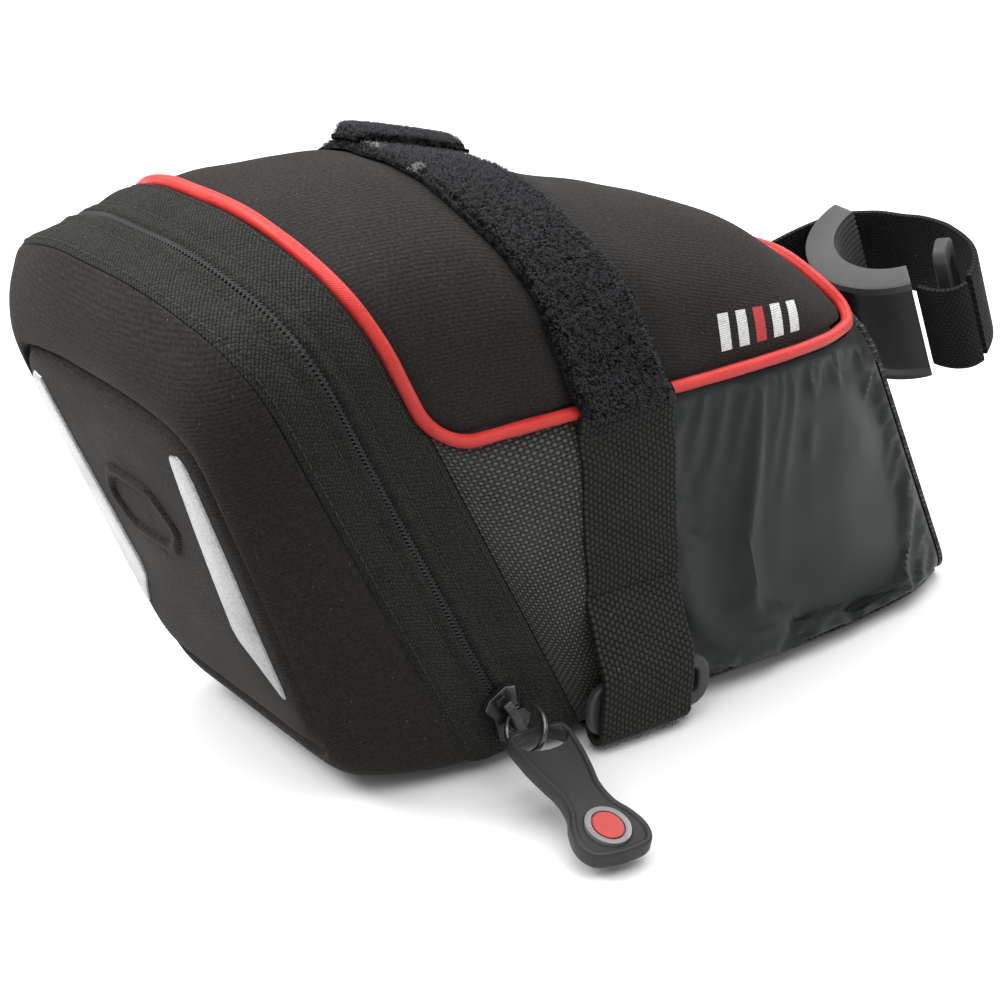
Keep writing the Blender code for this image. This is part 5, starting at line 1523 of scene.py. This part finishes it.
PAD_TURN = turned(PAD_YAW, PAD_PITCH, PAD_ROLL)


def by_post(points):
    """Points given across, forwards and up in the seatpost pad's own frame."""
    return PAD_CENTRE + np.asarray(points, float) @ PAD_TURN.T


def add_pad():
    """C-shaped rubber pad, flanged top and bottom, with fine grip ribs in its bore."""
    wall, flange = POST_RADIUS + PAD_WALL, PAD_FLANGE_RADIUS
    inner, foot = POST_RADIUS + 0.5, -PAD_HEIGHT
    corners = [
        (inner, 0), (flange - 0.6, 0), (flange, -0.5), (flange, -2.2), (flange - 0.5, -2.7),
        (wall + 0.6, -3.4), (wall, -4.2), (wall, foot + 3.4), (wall + 0.6, foot + 2.2),
        (wall + 2.1, foot + 1.8), (wall + 2.4, foot + 1.4), (wall + 2.4, foot + 0.4),
        (wall + 2.0, foot), (inner, foot),
    ]  # fmt: skip
    ribs = [(POST_RADIUS + 0.25 * (1 + math.cos(math.pi * k)), foot + 0.8 + 0.8 * k) for k in range(39)]
    profile = np.array(corners + ribs)
    angle = -math.pi / 2 + spread(-PAD_HALF_ANGLE, PAD_HALF_ANGLE, 90)
    near_end = np.exp(-(PAD_HALF_ANGLE - np.abs(angle + math.pi / 2)) * 20 / 0.6)
    rows = []
    for a, shy in zip(angle, near_end):
        r = profile[:, 0] + (0.5 * (wall + POST_RADIUS) - profile[:, 0]) * 0.06 * shy
        rows.append(by_post(np.stack([r * math.cos(a), r * math.sin(a), profile[:, 1]], axis=1)))
    grid = np.array(rows)
    count = len(profile)
    faces = [tuple(q) for q in grid_faces(len(grid), count, True)]
    faces += [tuple(range(count))[::-1], tuple((len(grid) - 1) * count + k for k in range(count))]
    made = facing_out(linked("post_pad", grid.reshape(-1, 3), faces))
    piece(made, "bag", PAD_RUBBER, "seatpost_pad")


def ribbon(name, line, low, high, replaced, seed):
    """Upright strap along a plan line in the pad's frame, between two heights."""
    tangent = np.gradient(line, axis=0)
    tangent /= np.linalg.norm(tangent, axis=1)[:, None]
    normal = np.stack([-tangent[:, 1], tangent[:, 0]], axis=1)
    share = np.concatenate([[0, 0.01, 0.03], spread(0.06, 0.94, 17), [0.97, 0.99, 1]])
    length = lengths_of(line)[:, None]
    wander = 0.18 * waves(length, 0 * length, 5, 8, 26, seed)
    edge = (high - low) * np.minimum(share, 1 - share)[None, :]
    half = LOOP_THICK / 2 - 0.3 * np.exp(-edge / 0.35) + 0 * length
    w = low + (high - low) * share[None, :] + wander

    def face(sign):
        x = line[:, 0, None] + sign * normal[:, 0, None] * half
        y = line[:, 1, None] + sign * normal[:, 1, None] * half
        return by_post(np.stack([x, y, w + 0 * x], axis=-1))

    return piece(slab_between(name, face(1), face(-1)), "bag", LOOP_WEB, replaced)


def add_seatpost_loop():
    far = [(-13, -40), (-19, -35), (-22.6, -26), (-23.2, -14), (-20.9, -5), (-12.2, 4), (-1, 11.2)]
    far += [(6, 12.8), (13.5, 13.2), (20, 10.8), (25.0, 6.4)]
    near = [(26.6, 4.9), (27.0, 3.0), (26.6, 0.6), (24.8, -2.0), (22.3, -3.9), (20.1, -5.0)]
    low, high = -28.5, -3.5
    ribbon("loop_far", smooth_line(far, 130), low, high, "seatpost_strap_left", 61)
    ribbon("loop_near", smooth_line(near, 50), low, high, "seatpost_strap_right", 62)
    behind = POST_RADIUS + PAD_WALL + 0.4 + LOOP_THICK / 2
    arc = np.radians(spread(-148, -74, 40))
    back = np.stack([behind * np.cos(arc), behind * np.sin(arc)], axis=1)
    ribbon("loop_back", back, low, high, "seatpost_strap_back", 63)
    refined("loop_buckle", "seatpost_buckle", "bag", PLASTIC, 0.75)


def cut_away(obj, cutter):
    """Cuts one closed mesh out of another and drops the cutter."""
    cut = obj.modifiers.new("cut", "BOOLEAN")
    cut.operation, cut.solver, cut.object = "DIFFERENCE", "EXACT", cutter
    graph = bpy.context.evaluated_depsgraph_get()
    mesh = bpy.data.meshes.new_from_object(obj.evaluated_get(graph))
    obj.modifiers.clear()
    obj.data = mesh
    bpy.data.objects.remove(cutter, do_unlink=True)


def stack(name, loops):
    """Closed solid from outlines of equal count, one above the other."""
    grid = np.array(loops)
    rows, count = grid.shape[:2]
    faces = [tuple(q) for q in grid_faces(rows, count, True)]
    faces += [tuple(range(count))[::-1], tuple((rows - 1) * count + k for k in range(count))]
    return facing_out(linked(name, grid.reshape(-1, 3), faces))


def add_pull_tab():
    """Dog-bone rubber tab: rounded edges, a rim round its face, an eye and a seat for the badge."""
    length = np.array(TAB_LENGTHWISE) / np.linalg.norm(TAB_LENGTHWISE)
    wide = np.cross([0.0, 0.0, 1.0], length)
    wide /= np.linalg.norm(wide)
    face = np.cross(length, wide)
    start = np.array(TAB_EYE_POINT) - length * TAB_HANG

    def set_in(outline, height):
        return start + outline[:, :1] * length + outline[:, 1:] * wide + height * face

    half = np.array(TAB_HALF)
    edge = smooth_line([(0.0, 0.0), (0.05, 3.5)] + [tuple(h) for h in half] + [(TAB_LENGTH, 0.0)], 90)
    outline = np.concatenate([edge, (edge * [1, -1])[::-1][1:-1]])
    direction = np.roll(outline, -1, axis=0) - np.roll(outline, 1, axis=0)
    inward = np.stack([direction[:, 1], -direction[:, 0]], axis=1)
    inward /= np.maximum(np.linalg.norm(inward, axis=1), 1e-9)[:, None]
    middle = outline.mean(axis=0)
    inward *= np.sign(((middle - outline) * inward).sum(axis=1).mean())
    top = TAB_THICK / 2
    profile = (
        (0.9, -top), (0.45, -top + 0.08), (0.14, -top + 0.35), (0.0, -top + 0.8),
        (0.0, top - 0.7), (0.1, top - 0.35), (0.35, top - 0.08), (0.6, top),
        (1.0, top), (1.25, top - 0.12), (1.45, top - 0.45), (1.65, top - 0.5),
    )  # fmt: skip
    made = stack("rubber_pull", [set_in(outline + inward * inset, height) for inset, height in profile])

    def oval(centre, size, height):
        a = spread(0, 2 * math.pi, 65)[:-1]
        return set_in(np.stack([centre + size[0] * np.cos(a), size[1] * np.sin(a)], axis=1), height)

    eye = [(0.5, -top - 0.3), (0.0, -top + 0.3), (0.0, top - 0.7), (0.5, top + 0.2)]
    cut_away(made, stack("eye", [oval(TAB_EYE, np.array(EYE_SIZE) + wider, h) for wider, h in eye]))
    seat = np.array(BADGE_SIZE) + 0.3
    cut_away(made, stack("seat", [oval(BADGE, seat, top - 0.9), oval(BADGE, seat, top + 1.0)]))
    made.data.shade_smooth()
    made.data.set_sharp_from_angle(angle=math.radians(40))
    piece(made, "tab", RUBBER, "pull_tab")


def add_hard_parts():
    add_pull_tab()
    refined("side_buckle", "strap_buckle", "bag", PLASTIC, 0.75)
    refined("slider_body", "zip_slider", "slider", METAL, 0.35)
    refined("badge_ring", "pull_badge_frame", "tab", GREY, 0.22)
    refined("badge_button", "pull_badge_insert", "tab", RED, 0.16)
    refined("stop_right", "zip_stop_right", "bag", METAL, 0.25)
    refined("stop_left", "zip_stop_left", "bag", METAL, 0.25)
    refined("stiff_base", "base_board", "bag", BOARD, 0.4)
    near, eye = np.array(RING_NEAR_POINT), np.array(TAB_EYE_POINT)
    reach, lift = (eye - near) / 2, np.array(RING_UP) / np.linalg.norm(RING_UP)
    turn = spread(0, 2 * math.pi, 49)[:-1, None]
    wire = (near + eye) / 2 - reach * np.cos(turn) + lift * RING_HALF_WIDE * np.sin(turn)
    piece(tube("wire_ring", wire, 0.65, closed=True), "ring", WIRE, "pull_ring")


# ---------------------------------------------------------------- inside the bag


def add_insides():
    way = spread(-1.90, 1.90, 170)[None, :]
    station = spread(TAPE - 8.5, FRONT - 5.0, 96)[:, None]
    soft = 0.22 * waves(way * 78, station, 9, 10, 36, 71) - 0.1
    lift = -3.95 - np.abs(soft)
    made = skin_slab("body_cloth", station, way, lift, lift - 0.35)
    piece(made, "bag", LINING, "body_lining")

    half, low, high = 33.0, 30.0, 78.0

    def pocket(x, z, depth=0.0):
        wide = x * (half + 2.5 * (z - low) / (high - low))
        sag = 5.0 * (1 - x * x)
        return np.stack(np.broadcast_arrays(wide, SEAM - 14.0 + sag - depth - 0.45 * z, z), axis=-1)

    rows, columns = 34, 47
    x, z = np.meshgrid(spread(-1, 1, columns), spread(low, high, rows))
    grid = pocket(x, z, 0.25)
    net = linked("pocket_net", grid.reshape(-1, 3), grid_faces(rows, columns))
    made = bmesh.new()
    made.from_mesh(net.data)
    bmesh.ops.poke(made, faces=made.faces)
    corners = {v for v in made.verts if v.index < rows * columns and len(v.link_edges) != 4}
    straight = [e for e in made.edges if corners.issuperset(e.verts)]
    bmesh.ops.dissolve_edges(made, edges=straight, use_verts=False)
    made.to_mesh(net.data)
    made.free()
    wires = net.modifiers.new("threads", "WIREFRAME")
    wires.thickness = 0.00042
    wires.use_even_offset = False
    piece(net, "lid", FIBRE, "mesh_pocket")
    hem = pocket(spread(-1, 1, 90), np.full(90, high + 2.6), 0.2)
    gathered = 1.9 + 0.12 * np.sin(np.arange(90) * 1.4)
    piece(tube("pocket_hem", hem, gathered, sides=14), "lid", LOOP_WEB, "mesh_pocket_elastic")


# ---------------------------------------------------------------- printed mark and dust


def add_generic_marks(panel):
    """Plain slanted bars printed low on the top panel's right side."""
    bars = [(44.0, WHITE_INK), (49.6, WHITE_INK), (55.2, RED_INK), (60.8, WHITE_INK), (66.4, WHITE_INK)]
    white, red = [], []
    for start, ink in bars:
        u, v = np.meshgrid(spread(0, 1, 14), spread(0, 1, 30))
        grid = onto(panel, at(start + 3.2 * u + 4.5 * v, 0.925 - 0.135 * v, 0.3), 0.07)
        (red if ink is RED_INK else white).append(grid)
    for name, grids, ink in (("white_bars", white, WHITE_INK), ("red_bar", red, RED_INK)):
        points = np.concatenate([g.reshape(-1, 3) for g in grids])
        faces = np.concatenate([grid_faces(30, 14) + k * 420 for k in range(len(grids))])
        piece(linked(name, points, faces), "bag", ink, ())


# ---------------------------------------------------------------- studio


def add_studio():
    floor = bpy.data.objects.new("floor", bpy.data.meshes.new("floor"))
    made = bmesh.new()
    bmesh.ops.create_grid(made, x_segments=1, y_segments=1, size=12.0)
    made.to_mesh(floor.data)
    made.free()
    floor.location.z = -0.0006
    bpy.context.scene.collection.objects.link(floor)
    paper = Finish("pale_floor", 0.9, specular=0.2)
    grain = paper.noise(paper.coordinates("Object"), 3.0, 2.0)
    floor.data.materials.append(paper.finish(paper.mix(grain, (0.93, 0.93, 0.93, 1), (0.96, 0.96, 0.96, 1))))
    floor.visible_diffuse = False

    world = bpy.data.worlds.new("studio")
    world.use_nodes = True
    world.node_tree.nodes["Background"].inputs[0].default_value = (1.0, 1.0, 1.0, 1.0)
    world.node_tree.nodes["Background"].inputs[1].default_value = 0.46
    bpy.context.scene.world = world
    bpy.context.scene.view_settings.view_transform = "Standard"

    def lamp(name, place, aim, size, power):
        light = bpy.data.lights.new(name, "AREA")
        light.shape = "RECTANGLE"
        light.size, light.size_y = size
        light.energy = power
        obj = bpy.data.objects.new(name, light)
        bpy.context.scene.collection.objects.link(obj)
        obj.location = place
        obj.rotation_euler = (Vector(aim) - Vector(place)).to_track_quat("-Z", "Y").to_euler()

    lamp("ceiling", (0, -0.4, 3.0), (0, 0, 0), (5.0, 5.0), 185.0)
    lamp("key", (-0.50, -0.75, 0.80), (0, 0, 0.06), (0.5, 0.5), 8.0)
    lamp("side", (0.90, 0.25, 0.75), (0, 0, 0.06), (0.5, 0.5), 0.5)
    lamp("back", (-0.3, 0.8, 0.8), (0, 0, 0.06), (0.6, 0.6), 3.2)


def add_camera():
    """Long lens from behind and to the right, a little above."""
    azimuth, elevation = math.radians(54.2), math.radians(21.8)
    target, distance = Vector((0.0200, -0.0446, 0.0516)), 0.449
    right = Vector((math.cos(azimuth), math.sin(azimuth), 0))
    level = math.cos(elevation)
    back = Vector((level * math.sin(azimuth), -level * math.cos(azimuth), math.sin(elevation)))
    matrix = Matrix.Identity(4)
    for k, axis in enumerate((right, back.cross(right), back)):
        matrix.col[k][:3] = axis
    matrix.col[3][:3] = target + distance * back
    camera = bpy.data.objects.new("camera", bpy.data.cameras.new("camera"))
    camera.data.lens, camera.data.sensor_width, camera.data.clip_start = 74.9, 36.0, 0.01
    bpy.context.scene.collection.objects.link(camera)
    camera.matrix_world = matrix
    bpy.context.scene.camera = camera


add_camera()
add_studio()
top_panel = add_top_panel()
add_side_panels()
add_front()
add_bottom()
add_piping()
add_tapes()
add_coils()
add_seam_stitches()
add_face_details(add_shell())
add_rail_strap()
add_side_webbing()
add_pad()
add_seatpost_loop()
add_hard_parts()
add_insides()
add_generic_marks(top_panel)

bpy.context.view_layer.update()
